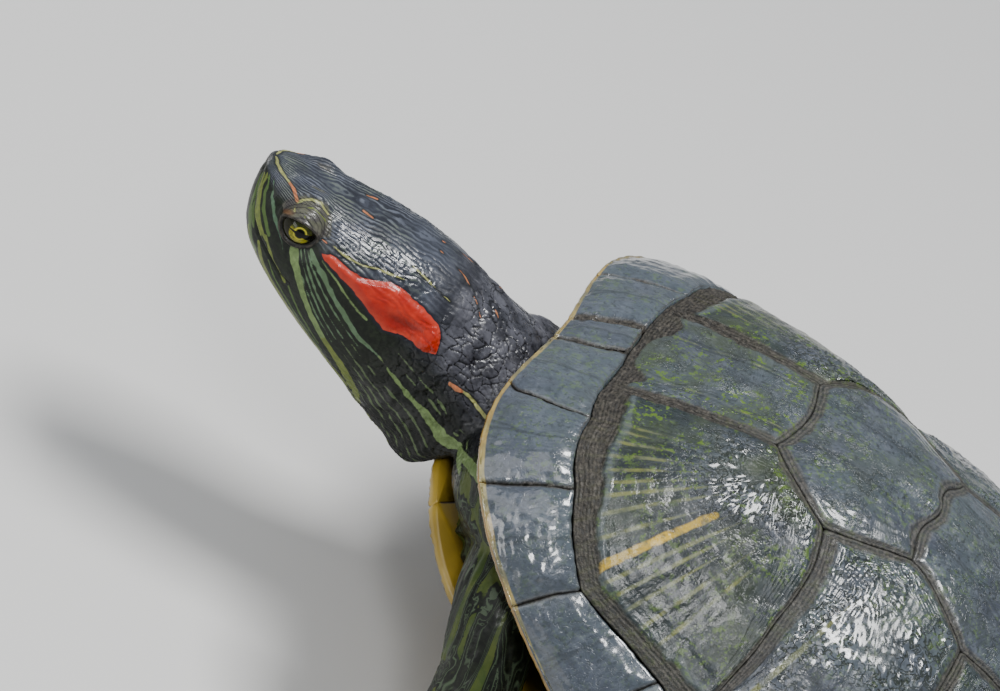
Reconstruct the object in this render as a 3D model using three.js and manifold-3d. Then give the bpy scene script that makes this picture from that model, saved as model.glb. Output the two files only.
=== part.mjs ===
// Red-eared slider turtle (Trachemys scripta elegans), life size, standing with its neck stretched out.
// Millimetres. +X is forward, +Y is the turtle's left, +Z is up, and the soles stand on z = 0.
import * as THREE from "three";
import { mergeVertices } from "three/addons/utils/BufferGeometryUtils.js";
import Module from "manifold-3d";

const wasm = await Module();
wasm.setup();

const { degToRad, lerp, smoothstep } = THREE.MathUtils;
const vec = (x, y, z) => new THREE.Vector3(x, y, z);

// ---- Driving dimensions ----

const SHELL_PITCH = degToRad(16); // the shell's nose-up lean
const SHELL_LIFT = 55; // the middle of the carapace rim, over the soles
const RIM_RADII = [90.5, 97.6, 77.6, 77.5, 81.5, 92.5, 100]; // from the shell's middle, every 30 degrees
const RIM_HEIGHTS = [9, 4.6, -5.4, -4.4, -4.6, -2, 0.5]; // of the rim, every 30 degrees
const DOME_HEIGHT = 53.2;
const DOME_FULLNESS = { lengthways: 1.07, sideways: 0.68 }; // under 1 is rounder, over 1 more pointed
const KEEL_DRIFT = -1.6; // how far the vertebral row lies off the midline, as it grew
const PLATE = 3; // thickness of a shell plate
const GAP = 0.3; // between neighbouring pieces

const MARGINAL_LENGTHS = [21.3, 28.9, 27, 27, 26, 21.1, 21.1, 21.1, 21.1, 21.1, 21.1, 21.1];
const NUCHAL_HALF_WIDTH = 4.1;
const NUCHAL_LEAN = degToRad(-3); // its inner end lies this far to the right
const SEAM_FRACTIONS = [
  // of the rim's radius, where the marginals' inner seam meets each seam between two of them, front to rear
  0.868, 0.843, 0.862, 0.912, 0.885, 0.893, 0.9, 0.9, 0.9, 0.895, 0.89, 0.89, 0.89,
];
const RIM_EDGE = 1.8; // thickness at the sharp rim
const RIM_UNDERSIDE = 9; // width of a marginal's underside
const BRIDGE = { front: 42, rear: -38, drop: 5, blend: 14 }; // where plastron and carapace join

const PLASTRON_LEVEL = -29; // outer face, below the rim's middle
const PLASTRON_SEAMS = [
  // where each seam crosses the midline and where it reaches the side, front to rear
  { middle: 86.5, side: 86.5 }, // front edge
  { middle: 64, side: 80 }, // gular and humeral
  { middle: 48, side: 46 }, // humeral and pectoral
  { middle: 18, side: 12 }, // pectoral and abdominal, out to the bridge
  { middle: -28, side: -38 }, // abdominal and femoral
  { middle: -51, side: -63 }, // femoral and anal
  { middle: -79, side: -87 }, // rear edge, with the anal notch
];
const FRONT_LOBE = { root: 40, length: 48, halfWidth: 46, fullness: 2.6, taper: 2.2 };
const REAR_LOBE = { root: -36, length: 54, halfWidth: 45, fullness: 2.4, taper: 2 };

const HEAD_LENGTH = 50; // snout to where the neck begins
const SNOUT = vec(160.5, 19.6, -11.4); // in the shell's frame
const HEAD_TURN = { left: degToRad(13.2), down: degToRad(2.5), roll: degToRad(9.6) };
const HEAD_SECTIONS = [
  // [behind the snout, crown, throat, half width, widest line's height, squareness above, squareness below]
  [2.6, 4.2, 0.5, 3.0, 2.2, 2.0, 2.0],
  [3.8, 5.1, -3.5, 5.4, 1.0, 2.3, 2.3],
  [7.0, 5.8, -9.6, 8.1, 0.0, 2.5, 2.3],
  [11, 6.6, -13.2, 10.0, -0.5, 2.6, 2.3],
  [16, 7.6, -15.6, 12.2, -1.0, 2.7, 2.3],
  [22, 9.2, -17.6, 14.0, -2.0, 2.7, 2.3],
  [30, 11.2, -19.8, 15.6, -3.0, 2.6, 2.3],
  [38, 13.0, -21.6, 16.6, -4.0, 2.4, 2.3],
  [46, 14.0, -23.6, 17.0, -5.0, 2.2, 2.2],
  [54, 13.8, -26.0, 16.8, -6.5, 2.1, 2.1],
  [62, 12.9, -27.2, 17.2, -8.0, 2.1, 2.2],
  [68, 12.2, -29.0, 18.4, -9.0, 2.1, 2.4],
  [70.6, 11.9, -26.4, 19.2, -8.0, 2.2, 2.4],
  [73.4, 11.4, -12.6, 20.5, -3.5, 2.3, 2.6],
  [84, 10.8, -12.2, 21.5, -3.0, 2.3, 2.6],
  [96, 10.2, -12.4, 19.0, -2.0, 2.1, 2.4],
];
const NECK_LEVELS = { from: 58, to: 76 }; // where the neck's roll fades out, behind the snout
const BROW = { behind: 13.5, side: 8.8, rise: 1.6, spread: 4.2 }; // the bulge over each eye
const EYE = { behind: 15.7, side: 8.0, height: 0.6, radius: 5 };

const TOE_RADIUS = 2.1;
const CLAW_LENGTH = 7;
const SOLE_SINK = 0.55; // how high a sole's middle lies, in half heights, so that its underside is flat

// ---- Colours ----

const colours = {
  scute: 0x4a545a,
  plastron: 0xb58d2c,
  skin: 0x262c28,
  eye: 0x9c9a1e,
};

// ---- Small geometry tools ----

// A closed BufferGeometry from points and triangles, with its faces turned outwards.
function closedGeometry(points, triangles) {
  let volume = 0;
  const cross = vec(0, 0, 0);
  for (const [a, b, c] of triangles) {
    volume += points[a].dot(cross.crossVectors(points[b], points[c]));
  }
  const turned = volume < 0 ? triangles.map(([a, b, c]) => [a, c, b]) : triangles;
  const geometry = new THREE.BufferGeometry().setFromPoints(points);
  geometry.setIndex(turned.flat());
  return geometry;
}

// A closed solid over rings of equally many points, with a fan over each end.
function loft(rings) {
  const count = rings[0].length;
  const points = rings.flat();
  const triangles = [];
  for (let r = 0; r + 1 < rings.length; r++) {
    for (let i = 0; i < count; i++) {
      const a = r * count + i;
      const b = r * count + ((i + 1) % count);
      triangles.push([a, b, b + count], [a, b + count, a + count]);
    }
  }
  for (const [first, turn] of [
    [0, 1],
    [(rings.length - 1) * count, 0],
  ]) {
    const middle = vec(0, 0, 0);
    for (let i = 0; i < count; i++) middle.addScaledVector(points[first + i], 1 / count);
    const tip = points.push(middle) - 1;
    for (let i = 0; i < count; i++) {
      const pair = [first + i, first + ((i + 1) % count)];
      triangles.push([tip, pair[turn], pair[1 - turn]]);
    }
  }
  return closedGeometry(points, triangles);
}

// A manifold-3d solid of a closed geometry.
function solidOf(geometry) {
  const bare = geometry.clone();
  bare.deleteAttribute("normal");
  bare.deleteAttribute("uv");
  const merged = mergeVertices(bare, 1e-4);
  return new wasm.Manifold(
    new wasm.Mesh({
      numProp: 3,
      vertProperties: merged.attributes.position.array,
      triVerts: new Uint32Array(merged.index.array),
    }),
  );
}

function geometryOf(solid) {
  const mesh = solid.getMesh();
  const geometry = new THREE.BufferGeometry();
  geometry.setAttribute("position", new THREE.BufferAttribute(mesh.vertProperties, 3));
  geometry.setIndex(new THREE.BufferAttribute(mesh.triVerts, 1));
  return geometry;
}

const joined = (solids) => solids.reduce((sum, solid) => sum.add(solid));
const cutBy = (solid, cutters) => cutters.reduce((rest, cutter) => rest.subtract(cutter), solid);

function piece(name, geometry, colour, roughness = 0.5) {
  const material = new THREE.MeshStandardMaterial({ color: colour, roughness, flatShading: true });
  const mesh = new THREE.Mesh(geometry, material);
  mesh.name = name;
  return mesh;
}

// ---- The carapace as one curved surface, in the shell's frame ----

// A smooth value round the rim from knots every 30 degrees, the same on both sides.
function aroundRim(knots, angle) {
  const folded = Math.abs(Math.atan2(Math.sin(angle), Math.cos(angle)));
  const place = Math.min((folded / Math.PI) * 6, 5.999999);
  const i = Math.floor(place);
  const t = place - i;
  const at = (k) => knots[Math.abs(k) > 6 ? 12 - Math.abs(k) : Math.abs(k)];
  const [p, q, r, s] = [at(i - 1), at(i), at(i + 1), at(i + 2)];
  const [linear, square, cubic] = [r - p, 2 * p - 5 * q + 4 * r - s, 3 * q - p - 3 * r + s];
  return 0.5 * (2 * q + linear * t + square * t * t + cubic * t ** 3);
}

// The point at fraction s of the rim's radius, 0 at the top and 1 on the rim, on a dome smaller by inset.
function domePoint(s, angle, inset = 0) {
  const radius = aroundRim(RIM_RADII, angle) - inset;
  const rim = aroundRim(RIM_HEIGHTS, angle);
  const { lengthways, sideways } = DOME_FULLNESS;
  const fullness = lengthways * Math.cos(angle) ** 2 + sideways * Math.sin(angle) ** 2;
  const height = rim + (DOME_HEIGHT - inset - rim) * (1 - Math.min(s, 1) ** 2) ** fullness;
  return vec(radius * s * Math.cos(angle), radius * s * Math.sin(angle), height);
}

// Disc places (u, v) spread the steep sides out: s is the sine of the place's radius in quarter turns.
function domeAt(place) {
  const s = Math.sin((Math.min(place.length(), 1) * Math.PI) / 2);
  return domePoint(s, Math.atan2(place.y, place.x));
}

function domeNormal(place) {
  const step = 1e-3;
  const held = place.length() > 1 - 2 * step ? place.clone().setLength(1 - 2 * step) : place;
  const at = (du, dv) => domeAt(new THREE.Vector2(held.x + du, held.y + dv));
  const along = at(step, 0).sub(at(-step, 0));
  const across = at(0, step).sub(at(0, -step));
  return along.cross(across).normalize();
}

const discPlace = (s, angle) => {
  const radius = (Math.asin(Math.min(s, 1)) * 2) / Math.PI;
  return new THREE.Vector2(radius * Math.cos(angle), radius * Math.sin(angle));
};

// The disc place above a point of the plan.
function placeOver(x, y) {
  const angle = Math.atan2(y, x);
  return discPlace(Math.hypot(x, y) / aroundRim(RIM_RADII, angle), angle);
}

// ---- Seams of the marginal scutes: stations 0 to 24 from the nuchal to the tail, two to a marginal ----

const RIM_STATIONS = (() => {
  const steps = 1800;
  const lengths = [0];
  for (let i = 1; i <= steps; i++) {
    const a = domePoint(1, ((i - 1) / steps) * Math.PI);
    const b = domePoint(1, (i / steps) * Math.PI);
    lengths.push(lengths[i - 1] + a.distanceTo(b));
  }
  const edges = [NUCHAL_HALF_WIDTH];
  for (const length of MARGINAL_LENGTHS) edges.push(edges.at(-1) + length);
  const stretch = lengths[steps] / edges.at(-1);
  const angleAt = (length) => (lengths.findIndex((l) => l >= length * stretch - 1e-6) / steps) * Math.PI;
  const stations = [];
  for (let j = 0; j <= 24; j++) {
    const along = j % 2 ? (edges[(j - 1) / 2] + edges[(j + 1) / 2]) / 2 : edges[j / 2];
    stations.push(j === 24 ? Math.PI : angleAt(along));
  }
  return stations;
})();

const onBridge = (x) =>
  smoothstep(x, BRIDGE.rear, BRIDGE.rear + BRIDGE.blend) *
  (1 - smoothstep(x, BRIDGE.front - BRIDGE.blend, BRIDGE.front));

// Where the marginals' upper seam crosses a station: the front seams lean back.
function innerAngle(j, side) {
  const skew = degToRad(5.5) * 0.26 ** Math.max(j / 2 - 1, 0) * Math.min(0.2 + j / 2, 1);
  return side * Math.min(RIM_STATIONS[j] + skew, Math.PI) + NUCHAL_LEAN * Math.max(1 - j / 2, 0);
}

function seamFraction(j) {
  const i = Math.min(Math.floor(j / 2), SEAM_FRACTIONS.length - 2);
  return lerp(SEAM_FRACTIONS[i], SEAM_FRACTIONS[i + 1], j / 2 - i);
}

const seamPlace = (j, side, inset = 0) => {
  const angle = innerAngle(j, side);
  return discPlace(seamFraction(j) + inset / aroundRim(RIM_RADII, angle), angle);
};

// ---- Shell plates ----

// A plate over a closed outline of disc or plan places: an outer face, an inner face and the wall between.
function plate(outline, surface, thickness, ringFractions) {
  const centre = outline.reduce((sum, p) => sum.add(p), new THREE.Vector2()).divideScalar(outline.length);
  const centrePoint = surface(centre).point;
  const inset = outline.map((p) => 1 - (0.75 * GAP) / surface(p).point.distanceTo(centrePoint));
  const rings = ringFractions.map((fraction) =>
    outline.map((p, i) => surface(centre.clone().lerp(p, fraction * inset[i]))),
  );
  const middle = surface(centre);
  const count = outline.length;
  const points = [];
  const triangles = [];
  for (const depth of [0, thickness]) {
    const place = ({ point, normal }) => point.clone().addScaledVector(normal, -depth);
    const first = points.length;
    points.push(place(middle));
    rings.forEach((ring) => points.push(...ring.map(place)));
    const turn = (a, b, c) => triangles.push(depth ? [a, c, b] : [a, b, c]);
    for (let i = 0; i < count; i++) {
      const next = (i + 1) % count;
      turn(first, first + 1 + i, first + 1 + next);
      for (let r = 0; r + 1 < rings.length; r++) {
        const a = first + 1 + r * count;
        turn(a + i, a + count + i, a + count + next);
        turn(a + i, a + count + next, a + next);
      }
    }
  }
  const faceSize = 1 + rings.length * count;
  const edge = faceSize - count;
  for (let i = 0; i < count; i++) {
    const next = (i + 1) % count;
    triangles.push([edge + i, faceSize + edge + i, faceSize + edge + next]);
    triangles.push([edge + i, faceSize + edge + next, edge + next]);
  }
  return closedGeometry(points, triangles);
}

const onDome = (place) => ({ point: domeAt(place), normal: domeNormal(place) });

// Corners joined by straight edges of a few steps each; a run of seam stations is kept as it is.
function outlineThrough(corners, steps) {
  const outline = [];
  corners.forEach((corner, i) => {
    const next = corners[(i + 1) % corners.length];
    const count = corner.onSeam && next.onSeam ? 1 : steps;
    for (let k = 0; k < count; k++) outline.push(corner.place.clone().lerp(next.place, k / count));
  });
  return outline;
}

// The vertebral row's corners on the plan: [x, half width], and the side points between them.
const VERTEBRAL_CORNERS = [null, [47.3, 14], [11.3, 17.6], [-29, 15.5], [-64, 11]];
const VERTEBRAL_SIDES = [null, null, [28.8, 26.5], [-9, 23.5], [-47, 22.5]];
const COSTAL_SEAMS = [1, 9, 13, 17, 21]; // stations where the costal seams meet the marginals

function vertebralPoint([x, halfWidth], side) {
  return { place: placeOver(x, side * halfWidth + KEEL_DRIFT * Math.cos((x / 92) * (Math.PI / 2))) };
}
const seamPoint = (j, side) => ({ place: seamPlace(j, side, -GAP / 2), onSeam: true });
const seamRun = (from, to, side) => {
  const step = Math.sign(to - from);
  return Array.from({ length: Math.abs(to - from) + 1 }, (_, k) => seamPoint(from + k * step, side));
};

function vertebralOutline(k) {
  const corner = (i, side) => vertebralPoint(VERTEBRAL_CORNERS[i], side);
  const flank = (i, side) => vertebralPoint(VERTEBRAL_SIDES[i], side);
  if (k === 1) return [...seamRun(1, 0, 1), ...seamRun(0, 1, -1), corner(1, -1), corner(1, 1)];
  if (k === 5) return [corner(4, 1), corner(4, -1), ...seamRun(21, 24, -1), ...seamRun(23, 21, 1)];
  return [corner(k - 1, 1), corner(k - 1, -1), flank(k, -1), corner(k, -1), corner(k, 1), flank(k, 1)];
}

function costalOutline(k, side) {
  const inner = [vertebralPoint(VERTEBRAL_CORNERS[k], side)];
  if (k < 4) inner.unshift(vertebralPoint(VERTEBRAL_SIDES[k + 1], side));
  if (k > 1) inner.push(vertebralPoint(VERTEBRAL_SIDES[k], side));
  return [...seamRun(COSTAL_SEAMS[k - 1], COSTAL_SEAMS[k], side), ...inner];
}

// A marginal's closed section at a rim angle: over the top, round the sharp edge and back underneath.
function marginalSection(rimAngle, topAngle, fraction) {
  const seam = fraction + (0.5 * GAP) / aroundRim(RIM_RADII, topAngle);
  const top = discPlace(seam, topAngle);
  const edge = discPlace(1, rimAngle);
  const middle = top.clone().lerp(edge, 0.55);
  const outward = vec(Math.cos(rimAngle), Math.sin(rimAngle), 0);
  const rim = domeAt(edge);
  const bridge = onBridge(rim.x);
  const lower = rim.clone().addScaledVector(outward, -0.7).add(vec(0, 0, -RIM_EDGE));
  const under = rim.clone().addScaledVector(outward, -RIM_UNDERSIDE);
  under.z += lerp(1.5, -BRIDGE.drop, bridge);
  const inner = domeAt(top).addScaledVector(domeNormal(top), -PLATE);
  return [domeAt(top), domeAt(middle), rim, lower, under, inner];
}

function marginal(from, to, side) {
  const stations = [from, (from + to) / 2, to];
  const rings = stations.map((j, i) => {
    const nudge = ((1 - i) * side * 0.55 * GAP) / aroundRim(RIM_RADII, RIM_STATIONS[j]);
    return marginalSection(side * RIM_STATIONS[j] + nudge, innerAngle(j, side) + nudge, seamFraction(j));
  });
  return loft(rings);
}

function nuchal() {
  const nudge = (0.55 * GAP) / RIM_RADII[0];
  const rings = [1, 0, -1].map((side) => {
    const inner = side ? innerAngle(0, side) : NUCHAL_LEAN;
    return marginalSection(side * (RIM_STATIONS[0] - nudge), inner - side * nudge, seamFraction(0));
  });
  return loft(rings);
}

function carapace() {
  const plates = [piece("nuchal_scute", nuchal(), colours.scute, 0.3)];
  const rings = [0.5, 0.82, 1];
  for (let k = 1; k <= 5; k++) {
    const outline = outlineThrough(vertebralOutline(k), 3);
    plates.push(piece(`vertebral_${k}`, plate(outline, onDome, PLATE, [0.55, 1]), colours.scute, 0.3));
  }
  for (const [sideName, side] of [
    ["left", 1],
    ["right", -1],
  ]) {
    for (let k = 1; k <= 4; k++) {
      const outline = outlineThrough(costalOutline(k, side), 3);
      const costal = plate(outline, onDome, PLATE, rings);
      plates.push(piece(`costal_${sideName}_${k}`, costal, colours.scute, 0.3));
    }
    for (let k = 1; k <= 12; k++) {
      const solid = marginal(2 * k - 2, 2 * k, side);
      plates.push(piece(`marginal_${sideName}_${k}`, solid, colours.scute, 0.3));
    }
  }
  return plates;
}

// ---- Plastron ----

const bridgeEdge = (angle) => {
  const radius = aroundRim(RIM_RADII, angle) - RIM_UNDERSIDE - 2 * GAP;
  const height = aroundRim(RIM_HEIGHTS, angle) - BRIDGE.drop;
  return vec(radius * Math.cos(angle), radius * Math.sin(angle), height);
};
const PLASTRON_FLAT = 40; // half width of its level middle

// The outer face: level in the middle, rising to the marginals along the bridge.
function plastronHeight(x, y) {
  const edge = bridgeEdge(Math.atan2(Math.abs(y), x));
  const reach = Math.hypot(edge.x, edge.y) * Math.abs(Math.sin(Math.atan2(edge.y, edge.x)));
  const t = Math.max(Math.abs(y) - PLASTRON_FLAT, 0) / (reach - PLASTRON_FLAT);
  const rise = onBridge(x) * (edge.z - PLASTRON_LEVEL) * t ** 1.05;
  return PLASTRON_LEVEL + rise + 2.5 * smoothstep(x, 60, 88);
}
const onPlastron = (place) => ({
  point: vec(place.x, place.y, plastronHeight(place.x, place.y)),
  normal: vec(0, 0, -1),
});

function bridgeRun(fromX, toX, side) {
  const flank = aroundRim(RIM_RADII, Math.PI / 2) - RIM_UNDERSIDE;
  const angles = [fromX, toX].map((x) => Math.acos(x / flank));
  return [0, 0.5, 1].map((t) => {
    const edge = bridgeEdge(lerp(angles[0], angles[1], t));
    return new THREE.Vector2(edge.x, side * edge.y);
  });
}

// Half the width of the plastron's lobes; the bridge between them is wider.
function lobeHalfWidth(x) {
  const lobe = x > 0 ? FRONT_LOBE : REAR_LOBE;
  const t = Math.min(Math.max((x - lobe.root) * Math.sign(lobe.root), 0) / lobe.length, 1);
  return lobe.halfWidth * (1 - t ** lobe.fullness) ** (1 / lobe.taper);
}

function plastralOutline(k, side) {
  const [front, rear] = [PLASTRON_SEAMS[k], PLASTRON_SEAMS[k + 1]];
  const onLobe = (x) => new THREE.Vector2(x, side * lobeHalfWidth(x));
  const onLobeBetween = (a, b) => [0, 1, 2, 3].map((n) => onLobe(lerp(a, b, n / 3)));
  let outer = onLobeBetween(front.side, rear.side);
  if (k === 2) outer = [onLobe(front.side), ...bridgeRun(BRIDGE.front - 8, rear.side, side)];
  if (k === 3) outer = [...bridgeRun(front.side, BRIDGE.rear + 8, side), onLobe(rear.side)];
  const rearMiddle = new THREE.Vector2(rear.middle, 0);
  const inward = [1 / 3, 2 / 3, 1].map((t) => outer.at(-1).clone().lerp(rearMiddle, t));
  const outward = [1 / 3, 2 / 3].map((t) => new THREE.Vector2(front.middle, 0).lerp(outer[0], t));
  const midline = [1 / 3, 2 / 3, 1].map((t) => new THREE.Vector2(lerp(rear.middle, front.middle, t), 0));
  return [...outward, ...outer, ...inward, ...midline];
}

function plastron() {
  const names = ["gular", "humeral", "pectoral", "abdominal", "femoral", "anal"];
  return names.flatMap((name, k) =>
    [
      ["left", 1],
      ["right", -1],
    ].map(([sideName, side]) => {
      const solid = plate(plastralOutline(k, side), onPlastron, PLATE, [0.6, 1]);
      return piece(`${name}_${sideName}`, solid, colours.plastron, 0.35);
    }),
  );
}

// ---- Trunk: all that fills the shell, with hollows where the limbs come out ----

function trunk(grow = 0) {
  const around = 30;
  const fractions = [0.35, 0.65, 0.88, 1];
  const inset = PLATE + 2;
  const column = (s, angle) => {
    const lengthways = Math.cos(angle) ** 2;
    const wall = lerp(14.5, Math.cos(angle) > 0 ? 18 : 16, lengthways);
    const radius = aroundRim(RIM_RADII, angle);
    const top = domePoint((s * (radius - wall)) / (radius - inset), angle, inset);
    const pocket = smoothstep(Math.abs(top.y), lobeHalfWidth(top.x) - 5, lobeHalfWidth(top.x) + 3);
    const floor = plastronHeight(top.x, top.y) + PLATE + 2.4 + 3.2 * onBridge(top.x);
    const bottom = lerp(floor, -9, pocket * (1 - onBridge(top.x)));
    const outward = vec(Math.cos(angle), Math.sin(angle), 0).multiplyScalar(s * grow);
    return [top.clone().add(outward).setZ(top.z + grow), top.clone().add(outward).setZ(bottom - grow)];
  };
  const ringAt = (s, layer) =>
    Array.from({ length: around }, (_, i) => column(s, (i / around) * 2 * Math.PI)[layer]);
  const upper = fractions.map((s) => ringAt(s, 0));
  const lower = fractions.map((s) => ringAt(s, 1)).reverse();
  return loft([...upper, ...lower]);
}

// ---- Head, neck and eyes, in the head's frame: snout at the origin, looking along +X ----

// A section value at a distance behind the snout, read smoothly between the listed sections.
function sectionAt(behind) {
  const last = HEAD_SECTIONS.length - 2;
  const i = Math.min(Math.max(HEAD_SECTIONS.findIndex((row) => row[0] > behind) - 1, 0), last);
  const [a, b] = [HEAD_SECTIONS[i], HEAD_SECTIONS[i + 1]];
  const t = THREE.MathUtils.clamp((behind - a[0]) / (b[0] - a[0]), 0, 1);
  return a.map((value, k) => lerp(value, b[k], t));
}

function headRing(behind, count) {
  const [, crown, throat, halfWidth, widest, above, below] = sectionAt(behind);
  const levelling = -HEAD_TURN.roll * smoothstep(behind, NECK_LEVELS.from, NECK_LEVELS.to);
  return Array.from({ length: count }, (_, i) => {
    const turn = (i / count) * 2 * Math.PI;
    const [c, s] = [Math.cos(turn), Math.sin(turn)];
    const power = 2 / (s > 0 ? above : below);
    const point = vec(-behind, halfWidth * Math.sign(c) * Math.abs(c) ** power, widest);
    point.z += (s > 0 ? crown - widest : widest - throat) * Math.sign(s) * Math.abs(s) ** power;
    const off = Math.hypot(behind - BROW.behind, (Math.abs(point.y) - BROW.side) * 1.2);
    if (s > 0) point.z += BROW.rise * Math.exp(-((off / BROW.spread) ** 2));
    return point.applyAxisAngle(vec(1, 0, 0), levelling);
  });
}

const ball = (radius, centre) => new THREE.SphereGeometry(radius, 12, 8).translate(...centre.toArray());
const eyeCentre = (side) => vec(-EYE.behind, side * EYE.side, EYE.height);

function headAndNeck() {
  const around = 20;
  const headStations = [2.6, 3.8, 7, 11, 13.5, 16, 19, 22, 30, 38, 46, HEAD_LENGTH];
  const neckStations = [HEAD_LENGTH + GAP, 54, 62, 68, 70.6, 73.4, 84, 96];
  const sockets = [1, -1].map((side) => solidOf(ball(EYE.radius + GAP, eyeCentre(side))));
  const head = solidOf(loft(headStations.map((behind) => headRing(behind, around))));
  return {
    head: geometryOf(cutBy(head, sockets)),
    neck: loft(neckStations.map((behind) => headRing(behind, around))),
  };
}

// ---- Limbs and tail, in a level frame about the shell's origin ----

const FLOOR = -SHELL_LIFT;

// Rings square to a path, without twist; each stop is [x, y, z, half width, half height].
function tube(stops, around) {
  const centres = stops.map(([x, y, z]) => vec(x, y, z));
  const sideways = vec(0, 0, 1).cross(centres[1].clone().sub(centres[0])).normalize();
  const rings = stops.map(([, , , wide, high], i) => {
    const ahead = centres[Math.min(i + 1, stops.length - 1)];
    const along = ahead.clone().sub(centres[Math.max(i - 1, 0)]).normalize();
    sideways.addScaledVector(along, -sideways.dot(along)).normalize();
    const upright = along.clone().cross(sideways);
    return Array.from({ length: around }, (_, k) => {
      const turn = (k / around) * 2 * Math.PI;
      const point = centres[i].clone().addScaledVector(sideways, wide * Math.cos(turn));
      point.addScaledVector(upright, high * Math.sin(turn));
      point.z = Math.max(point.z, FLOOR);
      return point;
    });
  });
  return loft(rings);
}

// Toes fan out from the palm's middle; each ends in a curved claw.
function foot({ palm, heading, toes, spread, reach, width }) {
  const solids = [];
  for (let i = 0; i < toes; i++) {
    const middle = (toes - 1) / 2;
    const turn = heading + ((i - middle) / middle) * spread;
    const length = reach * (1 - 0.13 * Math.abs((i - middle) / middle) ** 1.5);
    const along = vec(Math.cos(turn), Math.sin(turn), 0);
    const out = (distance, height, wide, high) => {
      const point = palm.clone().addScaledVector(along, distance);
      return [point.x, point.y, FLOOR + height, wide, high];
    };
    const toe = [
      out(width * 0.15, 4.2, TOE_RADIUS + 1, TOE_RADIUS + 0.8),
      out(length * 0.62, 3.0, TOE_RADIUS + 0.4, TOE_RADIUS + 0.6),
      out(length, 2.2, TOE_RADIUS - 0.3, TOE_RADIUS),
    ];
    const claw = [
      out(length - 1.5, 2.7, 1.35, 1.25),
      out(length + CLAW_LENGTH * 0.6, 2.2, 0.85, 0.85),
      out(length + CLAW_LENGTH, 0.5, 0.3, 0.3),
    ];
    solids.push(solidOf(tube(toe, 6)), solidOf(tube(claw, 5)));
  }
  return joined(solids);
}

function leg({ path, heading, toes, spread, reach, palmSize, ahead }) {
  const [x, y] = path.at(-1);
  const palm = vec(x + ahead * Math.cos(heading), y + ahead * Math.sin(heading), FLOOR);
  const [length, width] = palmSize;
  const onward = vec(Math.cos(heading), Math.sin(heading), 0);
  const sole = [-1, -0.75, 0, 0.7, 1].map((t) => {
    const swell = Math.sqrt(Math.max(1 - t * t, 0.12));
    const height = 5.3 - 1.2 * t;
    const centre = palm.clone().addScaledVector(onward, (t * length) / 2);
    return [centre.x, centre.y, FLOOR + height * SOLE_SINK, (width / 2) * swell, height * swell];
  });
  const webbed = foot({ palm, heading, toes, spread, reach, width });
  return joined([solidOf(tube(path, 11)), solidOf(tube(sole, 8)), webbed]);
}

const FORELEG = { toes: 5, spread: degToRad(40), reach: 15, palmSize: [24, 22], ahead: 5 };
const HINDLEG = { toes: 4, spread: degToRad(32), reach: 20, palmSize: [30, 23], ahead: 9 };
const LEGS = {
  foreleg_left: {
    ...FORELEG,
    heading: degToRad(38),
    path: [
      [63, 34, 5, 10, 11],
      [61, 44, 3.5, 10, 11],
      [58.5, 52, 0, 9.4, 10.2],
      [53.5, 57.5, -9, 9, 9.4],
      [52, 61.5, -19, 8.4, 8.6],
      [53, 65, -30, 8.2, 8.2],
      [56, 68.5, -40, 8.4, 8],
      [58, 70, -50, 8.2, 7],
    ],
  },
  foreleg_right: {
    ...FORELEG,
    heading: degToRad(-30),
    path: [
      [63, -34, 4, 10, 11],
      [62, -44, 2, 10, 11],
      [61, -53, -2, 9.2, 10.2],
      [62, -59, -10, 9.6, 9.8],
      [65, -63.5, -20, 9.4, 9.4],
      [70, -66.5, -31, 8.8, 8.4],
      [76, -68.5, -41.5, 8.4, 7.8],
      [79, -70, -50, 8.2, 7],
    ],
  },
  hindleg_left: {
    ...HINDLEG,
    heading: degToRad(62),
    path: [
      [-44, 38, -24, 9, 9],
      [-50, 52, -30, 9.5, 9.5],
      [-52, 61, -33, 11.5, 10.8],
      [-49, 69, -35.5, 11.4, 10.6],
      [-53, 77, -39.5, 10.2, 9.8],
      [-59, 82, -45, 9.2, 8.6],
      [-61, 85, -50, 8.8, 7],
    ],
  },
  hindleg_right: {
    ...HINDLEG,
    heading: degToRad(-118),
    path: [
      [-48, -38, -25, 9, 9],
      [-57, -50, -31.5, 9.5, 9.5],
      [-65, -59, -34.5, 11.4, 10.6],
      [-72, -65, -37, 11.2, 10.2],
      [-79, -70, -41, 10, 9.4],
      [-84, -75, -46, 9.2, 8.2],
      [-87, -79, -50, 8.8, 7],
    ],
  },
};
const TAIL = [
  [-64, 0, -33, 9, 7.5],
  [-78, 1, -38.5, 8, 6.6],
  [-90, 2.5, -43.5, 6, 5],
  [-101, 5, -47.5, 4, 3.6],
  [-111, 8.5, -50, 2.4, 2.3],
  [-119, 12.5, -51.2, 0.9, 0.9],
];

// ---- Assembly ----

const turtle = new THREE.Group();
turtle.name = "red_eared_slider";

const shellFrame = new THREE.Group();
shellFrame.rotation.y = -SHELL_PITCH;
shellFrame.add(...carapace(), ...plastron(), piece("trunk", trunk(), colours.skin, 0.6));
turtle.add(shellFrame);

const headFrame = new THREE.Group();
headFrame.position.copy(SNOUT);
headFrame.rotation.set(HEAD_TURN.roll, HEAD_TURN.down, HEAD_TURN.left, "ZYX");
shellFrame.add(headFrame);
turtle.updateMatrixWorld(true);

const { head, neck } = headAndNeck();
headFrame.updateMatrix();
const trunkInHeadFrame = solidOf(trunk(2 * GAP).applyMatrix4(headFrame.matrix.clone().invert()));
headFrame.add(
  piece("head", head, colours.skin, 0.35),
  piece("neck", geometryOf(cutBy(solidOf(neck), [trunkInHeadFrame])), colours.skin, 0.45),
  piece("eye_left", ball(EYE.radius, eyeCentre(1)), colours.eye, 0.1),
  piece("eye_right", ball(EYE.radius, eyeCentre(-1)), colours.eye, 0.1),
);

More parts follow.
